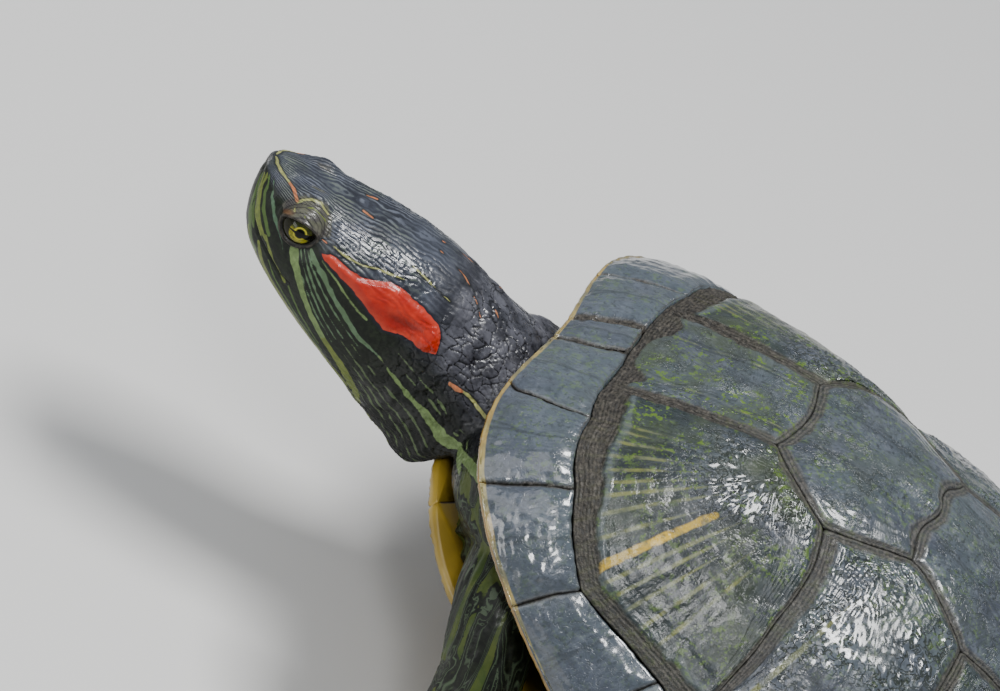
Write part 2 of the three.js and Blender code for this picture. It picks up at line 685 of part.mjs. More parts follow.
const levelFrame = new THREE.Group();
const trunkLevelled = solidOf(trunk(2 * GAP).applyMatrix4(new THREE.Matrix4().makeRotationY(-SHELL_PITCH)));
for (const [name, form] of Object.entries(LEGS)) {
  const limb = cutBy(leg(form), [trunkLevelled]);
  levelFrame.add(piece(name, geometryOf(limb), colours.skin, 0.55));
}
const tail = cutBy(solidOf(tube(TAIL, 10)), [trunkLevelled]);
levelFrame.add(piece("tail", geometryOf(tail), colours.skin, 0.55));
turtle.add(levelFrame);

// The origin lies on the floor under the middle of the whole animal.
const reach = new THREE.Box3().setFromObject(turtle, true);
const under = reach.getCenter(vec(0, 0, 0)).setZ(FLOOR);
for (const frame of [shellFrame, levelFrame]) frame.position.sub(under);

export default turtle;
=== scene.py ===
"""Red-eared slider turtle: the looks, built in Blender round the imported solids.

Lengths in the making are millimetres in the shell's own frame (x forward, y left, z up, origin at the middle
of the carapace at rim level). to_row turns them into the row's frame, in metres.
"""

import math

import bpy
import numpy as np
from mathutils import Matrix, Vector


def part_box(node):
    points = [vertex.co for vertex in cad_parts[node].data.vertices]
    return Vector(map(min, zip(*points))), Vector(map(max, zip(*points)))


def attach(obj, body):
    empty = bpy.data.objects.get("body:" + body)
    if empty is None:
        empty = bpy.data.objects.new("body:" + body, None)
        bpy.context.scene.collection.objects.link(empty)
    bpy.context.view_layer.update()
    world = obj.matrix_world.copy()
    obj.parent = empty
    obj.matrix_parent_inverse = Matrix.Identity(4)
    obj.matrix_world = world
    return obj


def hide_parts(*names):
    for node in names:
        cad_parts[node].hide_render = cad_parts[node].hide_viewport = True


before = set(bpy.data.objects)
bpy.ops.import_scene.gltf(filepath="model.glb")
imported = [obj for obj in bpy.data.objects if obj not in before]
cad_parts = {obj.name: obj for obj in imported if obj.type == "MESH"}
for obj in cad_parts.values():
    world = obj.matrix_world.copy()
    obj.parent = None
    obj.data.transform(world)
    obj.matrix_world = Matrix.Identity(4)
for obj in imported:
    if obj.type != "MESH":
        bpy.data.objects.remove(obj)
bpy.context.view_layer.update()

# ---- Driving dimensions, in millimetres ----

SHELL_PITCH = math.radians(16)
RIM_RADII = [90.5, 97.6, 77.6, 77.5, 81.5, 92.5, 100]
RIM_HEIGHTS = [9, 4.6, -5.4, -4.4, -4.6, -2, 0.5]
DOME_HEIGHT = 53.2
DOME_FULLNESS = {"lengthways": 1.07, "sideways": 0.68}
KEEL_DRIFT = -1.6  # how far the keel swings to the right at the top of the dome
HALF_LENGTH = 92
PLATE = 3.0
GAP = 0.04  # between one scute and the next

MARGINAL_LENGTHS = [21.3, 28.9, 27, 27, 26] + [21.1] * 7
NUCHAL_HALF_WIDTH = 4.1
NUCHAL_LEAN = math.radians(-3)
SEAM_FRACTIONS = [0.868, 0.843, 0.862, 0.912, 0.885, 0.893, 0.9, 0.9, 0.9, 0.895, 0.89, 0.89, 0.89]
RIM_EDGE = 1.8
RIM_UNDERSIDE = 9
BRIDGE = {"front": 42, "rear": -38, "drop": 5, "blend": 14}

VERTEBRAL_CORNERS = [None, (47.3, 14), (11.3, 17.6), (-29, 15.5), (-64, 11)]
VERTEBRAL_SIDES = [None, None, (28.8, 26.5), (-9, 23.5), (-47, 22.5)]
COSTAL_SEAMS = [1, 9, 13, 17, 21]

EYE = {"behind": 15.7, "side": 8.0, "height": 0.6, "radius": 5.0}
SNOUT = np.array([160.5, 19.6, -11.4])
HEAD_TURN = {"left": math.radians(13.2), "down": math.radians(2.5), "roll": math.radians(9.6)}

MM = 0.001


# ---- Frames ----


def turn_about(axis, angle):
    return np.array(Matrix.Rotation(angle, 3, axis))


SHELL_TURN = turn_about("Y", -SHELL_PITCH)
HEAD_AXES = turn_about("Z", HEAD_TURN["left"]) @ turn_about("Y", HEAD_TURN["down"])
HEAD_AXES = HEAD_AXES @ turn_about("X", HEAD_TURN["roll"])


def head_to_shell(points):
    return np.asarray(points) @ HEAD_AXES.T + SNOUT


def shell_to_head(points):
    return (np.asarray(points) - SNOUT) @ HEAD_AXES


def middle_of(node):
    low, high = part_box(node)
    return np.array((low + high) / 2) / MM


# The shell's origin follows from where the frame holds the eyes.
EYE_MIDDLE = head_to_shell([[-EYE["behind"], 0, EYE["height"]]])[0]
SHELL_ORIGIN = (middle_of("eye_left") + middle_of("eye_right")) / 2 - SHELL_TURN @ EYE_MIDDLE


def to_row(points):
    return (np.asarray(points) @ SHELL_TURN.T + SHELL_ORIGIN) * MM


# ---- Noise ----

RANDOM = np.random.default_rng(7)
GRADIENTS = RANDOM.normal(size=(256, 3))
GRADIENTS /= np.linalg.norm(GRADIENTS, axis=1)[:, None]
SPOTS = RANDOM.uniform(0.1, 0.9, size=(256, 3))


def cell_hash(x, y, z, seed):
    mixed = (x * 73856093) ^ (y * 19349663) ^ (z * 83492791) ^ (seed * 2654435)
    mixed = (mixed ^ (mixed >> 13)) * 1274126177
    return (mixed ^ (mixed >> 16)) & 255


def noise(points, seed=0):
    """Smooth gradient noise, about -1 to 1, with features one unit across."""
    cell = np.floor(points).astype(np.int64)
    part = points - cell
    fade = part**3 * (part * (part * 6 - 15) + 10)
    total = np.zeros(len(points))
    for corner in np.ndindex(2, 2, 2):
        offset = np.array(corner)
        gradient = GRADIENTS[cell_hash(*(cell + offset).T, seed)]
        weight = np.prod(np.where(offset, fade, 1 - fade), axis=1)
        total += weight * np.einsum("ij,ij->i", gradient, part - offset)
    return total * 1.6


def layered(points, octaves=3, seed=0):
    return sum(noise(points * 2**k, seed + k) / 2**k for k in range(octaves))


def cells(points, seed=0):
    """Distances to the nearest and next nearest of scattered spots, one to a unit cell."""
    cell = np.floor(points).astype(np.int64)
    near = np.full(len(points), 9.0)
    next_near = np.full(len(points), 9.0)
    for offset in np.ndindex(3, 3, 3):
        other = cell + np.array(offset) - 1
        spot = other + SPOTS[cell_hash(*other.T, seed)]
        distance = np.linalg.norm(points - spot, axis=1)
        next_near = np.minimum(next_near, np.maximum(near, distance))
        near = np.minimum(near, distance)
    return near, next_near


def smoothstep(value, low, high):
    """0 up to low and 1 from high on; where high is the lesser, it falls instead."""
    t = np.clip((value - low) / (high - low), 0, 1)
    return t * t * (3 - 2 * t)


def bump(distance, width):
    return np.exp(-((distance / width) ** 2))


# ---- Vectors ----


def unit(vectors):
    return vectors / (np.linalg.norm(vectors, axis=-1, keepdims=True) + 1e-12)


def lengths_along(points):
    """How far along a run of points each one lies."""
    return np.append(0, np.cumsum(np.linalg.norm(np.diff(points, axis=0), axis=1)))


def noise_vectors(points, seed):
    return np.stack([noise(points, seed + k) for k in range(3)], axis=-1)


def folded(points):
    """Points with the right side folded over onto the left."""
    return np.stack([points[:, 0], np.abs(points[:, 1]), points[:, 2]], axis=-1)


# ---- The carapace as one curved surface ----


def around_rim(knots, angle):
    """A smooth value round the rim from knots every 30 degrees, the same on both sides."""
    place = np.minimum(np.abs(np.arctan2(np.sin(angle), np.cos(angle))) / np.pi * 6, 5.999999)
    i = np.floor(place).astype(int)
    t = place - i
    mirrored = np.array([knots[1], *knots, knots[5]], float)
    p, q, r, s = (mirrored[i + k] for k in range(4))
    curve = (2 * p - 5 * q + 4 * r - s) * t**2 + (3 * q - p - 3 * r + s) * t**3
    return 0.5 * (2 * q + (r - p) * t + curve)


def dome_point(s, angle, inset=0):
    radius = around_rim(RIM_RADII, angle) - inset
    rim = around_rim(RIM_HEIGHTS, angle)
    fullness = DOME_FULLNESS["lengthways"] * np.cos(angle) ** 2
    fullness += DOME_FULLNESS["sideways"] * np.sin(angle) ** 2
    height = rim + (DOME_HEIGHT - inset - rim) * (1 - np.minimum(s, 1) ** 2) ** fullness
    return np.stack([radius * s * np.cos(angle), radius * s * np.sin(angle), height], axis=-1)


def dome_at(place):
    """The dome's point at disc places, which spread its steep sides out."""
    radius = np.minimum(np.hypot(place[..., 0], place[..., 1]), 1)
    return dome_point(np.sin(radius * np.pi / 2), np.arctan2(place[..., 1], place[..., 0]))


def disc_place(s, angle):
    radius = np.arcsin(np.minimum(s, 1)) * 2 / np.pi
    return np.stack([radius * np.cos(angle), radius * np.sin(angle)], axis=-1)


def place_over(x, y):
    angle = np.arctan2(y, x)
    return disc_place(np.hypot(x, y) / around_rim(RIM_RADII, angle), angle)


def wandering(place):
    """Seams aren't drawn with a ruler: disc places drift a little, less towards the rim."""
    far = np.hypot(place[..., 0], place[..., 1])
    hold = 0.0055 * smoothstep(1 - far, 0.02, 0.2)
    flat = np.concatenate([place.reshape(-1, 2) * 9, np.zeros((place.size // 2, 1))], axis=1)
    drift = np.stack([noise(flat, 31), noise(flat, 32)], axis=-1).reshape(place.shape)
    return place + drift * hold[..., None]


def surface_frame(surface, place, step=2e-3):
    """Points and outward unit normals of a surface over a plane of places."""
    du, dv = np.array([step, 0]), np.array([0, step])
    along = surface(place + du) - surface(place - du)
    across = surface(place + dv) - surface(place - dv)
    return surface(place), unit(np.cross(along, across))


# ---- Seams of the marginal scutes: stations 0 to 24, two to a marginal ----


def rim_stations():
    steps = 1800
    angles = np.linspace(0, np.pi, steps + 1)
    lengths = lengths_along(dome_point(np.ones_like(angles), angles))
    edges = np.cumsum([NUCHAL_HALF_WIDTH, *MARGINAL_LENGTHS])
    halves = np.sort(np.concatenate([edges, (edges[1:] + edges[:-1]) / 2]))
    return np.interp(halves * lengths[-1] / edges[-1], lengths, angles)


RIM_STATIONS = rim_stations()


def station_angle(j):
    return np.interp(j, np.arange(25), RIM_STATIONS)


def inner_angle(j, side):
    j = np.asarray(j, float)
    skew = math.radians(5.5) * 0.26 ** np.maximum(j / 2 - 1, 0) * np.minimum(0.2 + j / 2, 1)
    return side * np.minimum(station_angle(j) + skew, np.pi) + NUCHAL_LEAN * np.maximum(1 - j / 2, 0)


def seam_fraction(j):
    return np.interp(np.asarray(j, float) / 2, np.arange(13), SEAM_FRACTIONS)


def seam_place(j, side):
    return disc_place(seam_fraction(j), inner_angle(j, side))


def on_bridge(x):
    rear = smoothstep(x, BRIDGE["rear"], BRIDGE["rear"] + BRIDGE["blend"])
    return rear * smoothstep(x, BRIDGE["front"], BRIDGE["front"] - BRIDGE["blend"])


# ---- Meshes ----


def grid_faces(rows, columns, first=0):
    """Quads over closed rows of points: the last point of a row joins its first."""
    r, c = np.meshgrid(np.arange(rows - 1), np.arange(columns), indexing="ij")
    a = first + r * columns + c
    b = first + r * columns + (c + 1) % columns
    return np.stack([a, b, b + columns, a + columns], axis=-1).reshape(-1, 4)


def fan_faces(centre, ring):
    return np.stack([np.full(len(ring), centre), ring, np.roll(ring, -1)], axis=-1)


def corners_of(points, quads, triangles):
    """The three corners of every triangle, with the quads cut in two."""
    split = np.concatenate([quads[:, [0, 1, 2]], quads[:, [0, 2, 3]], triangles])
    return split, *(points[split[:, k]] for k in range(3))


def outward_part(part):
    """The same closed mesh with its faces turned outwards."""
    points, quads, triangles = part
    _, a, b, c = corners_of(points - points.mean(axis=0), quads, triangles)
    if np.einsum("ij,ij->i", a, np.cross(b, c)).sum() < 0:
        quads, triangles = quads[:, ::-1], triangles[:, ::-1]
    return points, quads, triangles


def new_mesh(name, points, quads, triangles, fields=None, colours=None):
    """A smooth mesh object in the row's frame, with its faces turned outwards."""
    points, quads, triangles = outward_part((points, quads, triangles))
    mesh = bpy.data.meshes.new(name)
    loops = np.concatenate([quads.ravel(), triangles.ravel()])
    totals = np.concatenate([np.full(len(quads), 4), np.full(len(triangles), 3)])
    mesh.vertices.add(len(points))
    mesh.vertices.foreach_set("co", np.asarray(points, np.float32).ravel())
    mesh.loops.add(len(loops))
    mesh.loops.foreach_set("vertex_index", loops.astype(np.int32))
    mesh.polygons.add(len(totals))
    mesh.polygons.foreach_set("loop_start", np.concatenate([[0], np.cumsum(totals)[:-1]]).astype(np.int32))
    mesh.polygons.foreach_set("use_smooth", np.ones(len(totals), bool))
    mesh.update(calc_edges=True)
    mesh.validate()
    add_fields(mesh, fields or {}, colours or {})
    piece = bpy.data.objects.new(name, mesh)
    bpy.context.scene.collection.objects.link(piece)
    return piece


def add_fields(mesh, fields, colours):
    for key, values in fields.items():
        mesh.attributes.new(key, "FLOAT", "POINT").data.foreach_set("value", np.asarray(values, np.float32))
    for key, values in colours.items():
        padded = np.concatenate([values, np.ones((len(values), 1))], axis=1)
        made = mesh.attributes.new(key, "FLOAT_COLOR", "POINT")
        made.data.foreach_set("color", padded.astype(np.float32).ravel())


def dress(piece, material, slot, *nodes):
    piece.data.materials.clear()
    piece.data.materials.append(material)
    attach(piece, "root")
    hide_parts(*nodes)


# ---- Scutes: each a closed plate whose growth rings follow its own outline ----

EDGE_BELT = 11.0  # the outer part of a scute, where the rings lie closest
SEAM_DEPTH = 0.26
BAND_DEPTH = 0.4  # how far a scute's newest growth lies under its old plate
RAY_RADIUS = 40.0  # where the streaks that fan out over a scute are as wide as their noise
WALL_STEPS = (0.15, 0.35, 0.6, 0.85)  # rows of points down a plate's edge


def resample(corners, count):
    """A closed run of points as evenly spaced ones, with its corners slightly rounded."""
    loop = np.concatenate([corners, corners[:1]])
    lengths = lengths_along(loop)
    even = np.linspace(0, lengths[-1], count, endpoint=False)
    points = np.stack([np.interp(even, lengths, loop[:, k]) for k in range(2)], axis=-1)
    return (np.roll(points, 1, axis=0) + 2 * points + np.roll(points, -1, axis=0)) / 4


def circular_blur(values, reach):
    kernel = np.hanning(2 * reach + 3)[1:-1]
    padded = np.concatenate([values[-reach:], values, values[:reach]])
    return np.convolve(padded, kernel / kernel.sum(), mode="valid")


def plate_rows(height, inner, outer):
    """How far out each row of points lies, 0 at the origin and 1 at the edge, closer in the outer belt."""
    belt = np.minimum(EDGE_BELT / height, 0.55)
    within = np.linspace(0, 0.999, inner + 1)[1:-1, None] * (1 - belt)
    beyond = 1 - belt + np.linspace(0, 1, outer)[:, None] * (belt - GAP * 0.5 / height)
    return np.concatenate([within, beyond])


def fan_plate(name, outline, origin, surface, widths, count, relief, inner, outer, below=None):
    """A plate that grew from origin. widths gives its newest growth by direction; relief adds its own height.

    It has count points round it, and inner and outer rows of them from the origin to its edge. below, for a
    plate of the plastron, gives how far each point of its edge bulges outwards.
    """
    step, facing, drift = (2e-3, 1, wandering) if below is None else (0.3, -1, np.asarray)
    edge = resample(outline, count)
    centre = np.asarray(origin, float)
    rim_points = surface(edge)
    hub, hub_normal = surface_frame(surface, centre[None], step)
    spokes = rim_points - hub
    reach = np.linalg.norm(spokes, axis=1)
    tangent = unit(np.roll(rim_points, -1, axis=0) - np.roll(rim_points, 1, axis=0))
    square = spokes - tangent * np.einsum("ij,ij->i", spokes, tangent)[:, None]
    away = np.linalg.norm(square, axis=1)
    height = np.maximum(circular_blur(away, 3), 2.0)
    q = plate_rows(height, inner, outer)
    place = drift(centre + q[..., None] * (edge - centre))
    points, normals = surface_frame(surface, place.reshape(-1, 2), step)
    normals *= facing

    # fields: distances from the seam and from the newest growth's inner edge, and grain that fans out
    width = circular_blur(widths(square / away[:, None], edge), 5)
    width = np.broadcast_to(width, q.shape).ravel()
    depth_in = ((1 - q) * height).ravel()
    ragged = 0.55 * noise(points / 3.2, 31) + 0.3 * noise(points / 1.2, 32)
    band = depth_in - width * (1 + 0.12 * ragged) - 0.5 * ragged
    fields = {"seam": depth_in, "band": band, "ring": (q * height.mean()).ravel(), "under": np.zeros(q.size)}
    fields |= {"lip": np.zeros(q.size), "rim": np.full(q.size, 50.0), "bold": np.full(q.size, 9.0)}
    rise = relief(points, fields) + plate_relief(points, fields)
    turned = np.broadcast_to(unit(spokes[:, :2]) * RAY_RADIUS, (*q.shape, 2))
    grain = np.concatenate([turned, (q * reach)[..., None] / 4], axis=-1)
    grain = grain.reshape(-1, 3)

    # the closed plate: its top, the wall round it, and a fan below
    top = points + normals * rise[:, None]
    lower_ring = points[-count:] - normals[-count:] * PLATE
    outward = spokes / reach[:, None] * (0 if below is None else circular_blur(below(edge), 3)[:, None])
    wall = [top[-count:] * (1 - t) + lower_ring * t + outward * math.sin(t * math.pi) for t in WALL_STEPS]
    every = np.concatenate([hub, top, *wall, lower_ring, hub - hub_normal * facing * PLATE])
    quads = grid_faces(len(q) + len(WALL_STEPS) + 1, count, first=1)
    last = len(every) - 1
    ring = np.arange(count)
    caps = np.concatenate([fan_faces(0, 1 + ring)[:, ::-1], fan_faces(last, last - count + ring)])

    def whole(values):
        return np.concatenate([values[:1], values, *[values[-count:]] * (len(WALL_STEPS) + 1), values[:1]])

    fields = {key: whole(values) for key, values in fields.items()}
    fields["outside"] = (np.arange(len(every)) <= len(top)).astype(float)
    return new_mesh(name, to_row(every), quads, caps, fields, {"grain": whole(grain)})


def plate_relief(points, fields):
    """Seam edges, the sunken newest growth with fine rings, the old plate's lip, and a hammered surface."""
    seam, band = fields["seam"], fields["band"]
    rise = -SEAM_DEPTH * bump(seam, 0.3)
    in_band = smoothstep(band, 0.7, -0.9)
    rise -= BAND_DEPTH * in_band
    rise += 0.2 * fields["lip"] * bump(band - 1.3, 1.1)
    rings = np.sin(seam * 5.4 + 2.6 * noise(points / 4, 5) + 1.3 * noise(points / 1.3, 8))
    rise += (0.06 * in_band + 0.012) * rings
    fields["grit"] = smoothstep(points[:, 0], 46, 66)
    rise += in_band * (0.6 + fields["grit"]) * (0.14 * noise(points / 0.8, 6) + 0.12 * noise(points / 2.2, 7))
    crack = np.abs(noise(points / [5, 2.6, 2.6], 9)) + 0.5 * (1 - fields["grit"])
    rise -= 0.35 * in_band * smoothstep(crack, 0.10, 0.0)
    rise += 0.24 * layered(points / 9, 2, 11) + 0.09 * layered(points / 3, 2, 12)
    rise += 0.035 * np.sin(fields["ring"] * 3.1 + 2 * noise(points / 6, 13)) * (1 - in_band)
    return rise


def crumpled(points, stretch, size):
    """Narrow worm-like ridges, drawn out along the shell by stretch."""
    scaled = points / np.array([size * stretch, size, size])
    bent = scaled + 0.45 * noise_vectors(scaled * 0.7, 41)
    ridge = 1 - np.abs(noise(bent, 46)) * 2.2
    return np.clip(ridge, -0.4, 1)


def polyline(corners, steps):
    """Straight runs between plan or disc corners, as many short steps."""
    run = []
    for a, b in zip(corners, corners[1:] + corners[:1]):
        run += [a + (b - a) * k / steps for k in range(steps)]
    return np.array(run)


def keel_line(x):
    return KEEL_DRIFT * np.cos(x / HALF_LENGTH * np.pi / 2)


def vertebral_point(corner, side):
    x, half_width = corner
    return place_over(x, side * half_width + keel_line(x))


def seam_run(start, stop, side):
    """The marginals' inner seam from one station to another."""
    step = 0.25 if stop > start else -0.25
    return [seam_place(j, side) for j in np.arange(start, stop + step / 2, step)]


def vertebral_outline(k):
    def corner(i, side):
        return vertebral_point(VERTEBRAL_CORNERS[i], side)

    def flank(i, side):
        return vertebral_point(VERTEBRAL_SIDES[i], side)

    if k == 1:
        return [*seam_run(1, 0, 1), *seam_run(0, 1, -1), corner(1, -1), corner(1, 1)]
    if k == 5:
        return [corner(4, 1), corner(4, -1), *seam_run(21, 24, -1), *seam_run(23.75, 21, 1)]
    return [corner(k - 1, 1), corner(k - 1, -1), flank(k, -1), corner(k, -1), corner(k, 1), flank(k, 1)]


def costal_outline(k, side):
    inner = [vertebral_point(VERTEBRAL_CORNERS[k], side)]
    if k < 4:
        inner.insert(0, vertebral_point(VERTEBRAL_SIDES[k + 1], side))
    if k > 1:
        inner.append(vertebral_point(VERTEBRAL_SIDES[k], side))
    return [*seam_run(COSTAL_SEAMS[k - 1], COSTAL_SEAMS[k], side), *inner]


def directed(front, outer, rear, inner):
    """Widths of the newest growth by the direction that an edge faces in the shell's plan."""

    def widths(outward, edge):
        side = np.sign(edge[:, 1].mean()) or 1
        x, y = unit(outward[:, :2] * [1, side]).T
        return np.array([front, outer, rear, inner]) @ np.stack([x, y, -x, -y]).clip(0) ** 2

    return widths


def ray_field(points, origin, angle, half_width, start, stop):
    """Distance from the edge of a ray in the plan, in millimetres and no more than 9."""
    direction = np.array([math.cos(angle), math.sin(angle)])
    away = points[:, :2] - origin
    along, off = away @ direction, away @ np.array([-direction[1], direction[0]])
    ends = np.maximum(np.maximum(start - along, along - stop), 0)
    return np.minimum(np.hypot(off, ends) - half_width, 9)


# Each costal: where it began to grow, on the plan; how wide its newest growth is in front, outside, behind
# and inside; how far from its origin the oldest, crumpled part ends and is whole; how long its ridges are
# and how strong; and how glossy it is between them.
COSTALS = [
    None,
    {
        "origin": (42, 22.5), "growth": (7.8, 4.6, 1.6, 1.6), "old": (24, 9),
        "stretch": 1.1, "crumple": 1, "gloss": 0.1,
    },
    {
        "origin": (14, 25), "growth": (3.4, 3.4, 1.3, 1.3), "old": (62, 34),
        "stretch": 1.9, "crumple": 1, "gloss": 0.3,
    },
    {
        "origin": (-22, 25), "growth": (2.6, 3.2, 1.3, 1.3), "old": (62, 34),
        "stretch": 1.9, "crumple": 0.85, "gloss": 0.1,
    },
    {
        "origin": (-54, 20), "growth": (2.2, 3.0, 1.6, 1.3), "old": (62, 34),
        "stretch": 1.9, "crumple": 0.7, "gloss": 0.1,
    },
]
VERTEBRAL_ORIGINS = [None, 56, 24, -15, -52, -76]
VERTEBRAL_GROWTH = [
    None,
    (2.4, 1.8, 1.3, 1.8),
    (2.4, 1.6, 1.3, 1.6),
    (2.2, 1.5, 1.2, 1.5),
    (2.2, 1.5, 1.2, 1.5),
    (1.6, 1.4, 1.8, 1.4),
]
FRONT_CORNER_GROWTH = 5.2  # how much wider the first vertebral's newest growth is at its front corners
MOSS = [None, 1.0, 0.45, 0.3, 0.3, 0.3]  # how much algae grows on each row of scutes, front to rear


def side_name(side):
    return "left" if side > 0 else "right"


def costal(k, side):
    kind = COSTALS[k]
    origin = np.array(kind["origin"]) * [1, side]

    def relief(points, fields):
        old = smoothstep(np.hypot(*(points[:, :2] - origin).T), *kind["old"])
        patch = smoothstep(layered(points / 11, 2, 21 + k), -0.8, 0.15)
        mask = kind["crumple"] * old * patch * smoothstep(fields["band"], 0, 2)
        fields["crumple"] = mask
        fields["gloss"] = kind["gloss"] + 0.65 * mask
        fields["moss"] = MOSS[k] * (0.55 + 0.45 * smoothstep(points[:, 1] * -side, -40, -22))
        fields["lines"] = fan_lines(points, origin, k, side)
        if k == 1:
            fields["bold"] = bold_line(points, origin, side)
            fields["lip"] = smoothstep(fields["seam"] - fields["band"], 3.5, 6)
        return mask * 0.38 * crumpled(points, kind["stretch"], 1.75)

    outline = polyline(costal_outline(k, side), 4)
    name, widths = f"scute_costal_{k}_{side_name(side)}", directed(*kind["growth"])
    return fan_plate(name, outline, place_over(*origin), dome_at, widths, 330, relief, 46, 40)


def fan_lines(points, origin, k, side):
    """Pale lines fan out from the scute's oldest corner towards its newest growth, and fade inwards."""
    nearest = np.full(len(points), 9.0)
    rays = [(88, 0, 0.45, 9)]
    if k == 1:
        rays = [
            (12 + 5.3 * i + 1.3 * math.sin(i * 5.1), 3 - 0.9 * i, 0.22, 13 + 3 * math.sin(i * 1.7))
            for i in range(15)
        ]
    for degrees, ahead, half_width, start in rays:
        middle = origin + [ahead, 0]
        ray = ray_field(points, middle, math.radians(degrees) * side, half_width, start, 60)
        along = np.hypot(*(points[:, :2] - middle).T)
        nearest = np.minimum(nearest, ray + 0.45 * smoothstep(along, start + 14, start))
    return nearest + 0.12 * noise(points / 2.5, 33)


def bold_line(points, origin, side):
    """The one broad yellow bar of the first costal, narrower towards its inner end."""
    middle = origin - [2.2, 0]
    along = np.hypot(*(points[:, :2] - middle).T)
    half_width = 0.75 + 0.15 * smoothstep(along, 17, 26) + 0.3 * noise(points / 2.2, 34)
    return ray_field(points, middle, math.radians(66) * side, 0, 16.5, 35) - half_width


def front_corners(widths):
    """The same widths, but wider towards the front corners of the first vertebral."""

    def wider(outward, edge):
        corner = smoothstep(np.abs(edge[:, 1]) * HALF_LENGTH, 3, 12) * smoothstep(outward[:, 0], 0.3, 0.9)
        return widths(outward, edge) + FRONT_CORNER_GROWTH * corner

    return wider


def vertebral(k):
    origin = np.array([VERTEBRAL_ORIGINS[k], KEEL_DRIFT])

    def relief(points, fields):
        midline = points[:, 1] - keel_line(points[:, 0])
        rear = VERTEBRAL_CORNERS[k][0] if k < 5 else -90
        knob = bump(points[:, 0] - rear - 7, 8) if k < 5 else 0
        patch = smoothstep(layered(points / 9, 2, 61), -0.5, 0.3)
        fields["crumple"] = 0.45 * smoothstep(fields["band"], 0, 2) * patch
        fields["moss"] = np.full(len(points), MOSS[k])
        fields["gloss"] = np.full(len(points), 0.6)
        fields["lines"] = np.abs(np.abs(midline) - 9 - 1.5 * noise(points / 12, 63))
        fields["lines"] += (0.1 if k == 1 else 0.35) + 0.3 * noise(points / 3, 64)
        keel = (0.35 + 0.75 * knob) * bump(midline, 3.2)
        return keel + fields["crumple"] * 0.16 * crumpled(points, 3.5, 1.0)

    outline = polyline(vertebral_outline(k), 5)
    widths = directed(*VERTEBRAL_GROWTH[k])
    widths = front_corners(widths) if k == 1 else widths
    name = f"scute_vertebral_{k}"
    return fan_plate(name, outline, place_over(*origin), dome_at, widths, 290, relief, 34, 38)


# ---- Marginal scutes ----


MARGINAL_ROWS = 44  # points across a marginal's top, from its inner seam to the rim


def marginal_section(rim_angle, top_angle, fraction):
    """Points of one marginal's cross-sections, from its inner seam over the rim and back below."""
    top = disc_place(fraction + 0.5 * GAP / around_rim(RIM_RADII, top_angle), top_angle)
    edge = disc_place(np.ones_like(rim_angle), rim_angle)
    across = np.linspace(0, 1, MARGINAL_ROWS) ** 0.9
    place = wandering(top[:, None] + (edge - top)[:, None] * across[None, :, None])
    over = dome_at(place)
    outward = np.stack([np.cos(rim_angle), np.sin(rim_angle), np.zeros_like(rim_angle)], axis=-1)
    rim = over[:, -1]
    lower = rim - 0.7 * outward - [0, 0, RIM_EDGE]
    under = rim - RIM_UNDERSIDE * outward
    under[:, 2] += 1.5 + (-BRIDGE["drop"] - 1.5) * on_bridge(rim[:, 0])
    inner_seam, seam_normal = surface_frame(dome_at, top)
    inner = inner_seam - seam_normal * PLATE
    turns = np.linspace(0, 1, 7)[1:-1]
    lip_centre = (rim + lower) / 2
    lip = []
    for t in turns * math.pi:
        lip.append(lip_centre + (rim - lip_centre) * math.cos(t) + outward * 0.9 * math.sin(t))
    underside = [lower + (under - lower) * t for t in np.linspace(0, 1, 16)]
    closing = [under + (inner - under) * t for t in (0.5, 1)]
    return np.concatenate([over, np.stack([*lip, *underside, *closing], axis=1)], axis=1)


def marginal_angles(start, stop, side, columns):
    """Round the rim and along the inner seam, with half the gap to the next scute left at each end."""
    along = np.linspace(0, 1, columns)
    if side:
        j = start + (stop - start) * along
        rim_angle, top_angle = side * station_angle(j), inner_angle(j, side)
    else:
        j = np.zeros(columns)
        rim_angle = station_angle(0) * (2 * along - 1)
        top_angle = inner_angle(0, -1) + (inner_angle(0, 1) - inner_angle(0, -1)) * along
    nudge = 0.5 * GAP / around_rim(RIM_RADII, rim_angle) * (1 - 2 * along)
    nudge *= np.sign(rim_angle[-1] - rim_angle[0])
    return rim_angle + nudge, top_angle + nudge, seam_fraction(j)


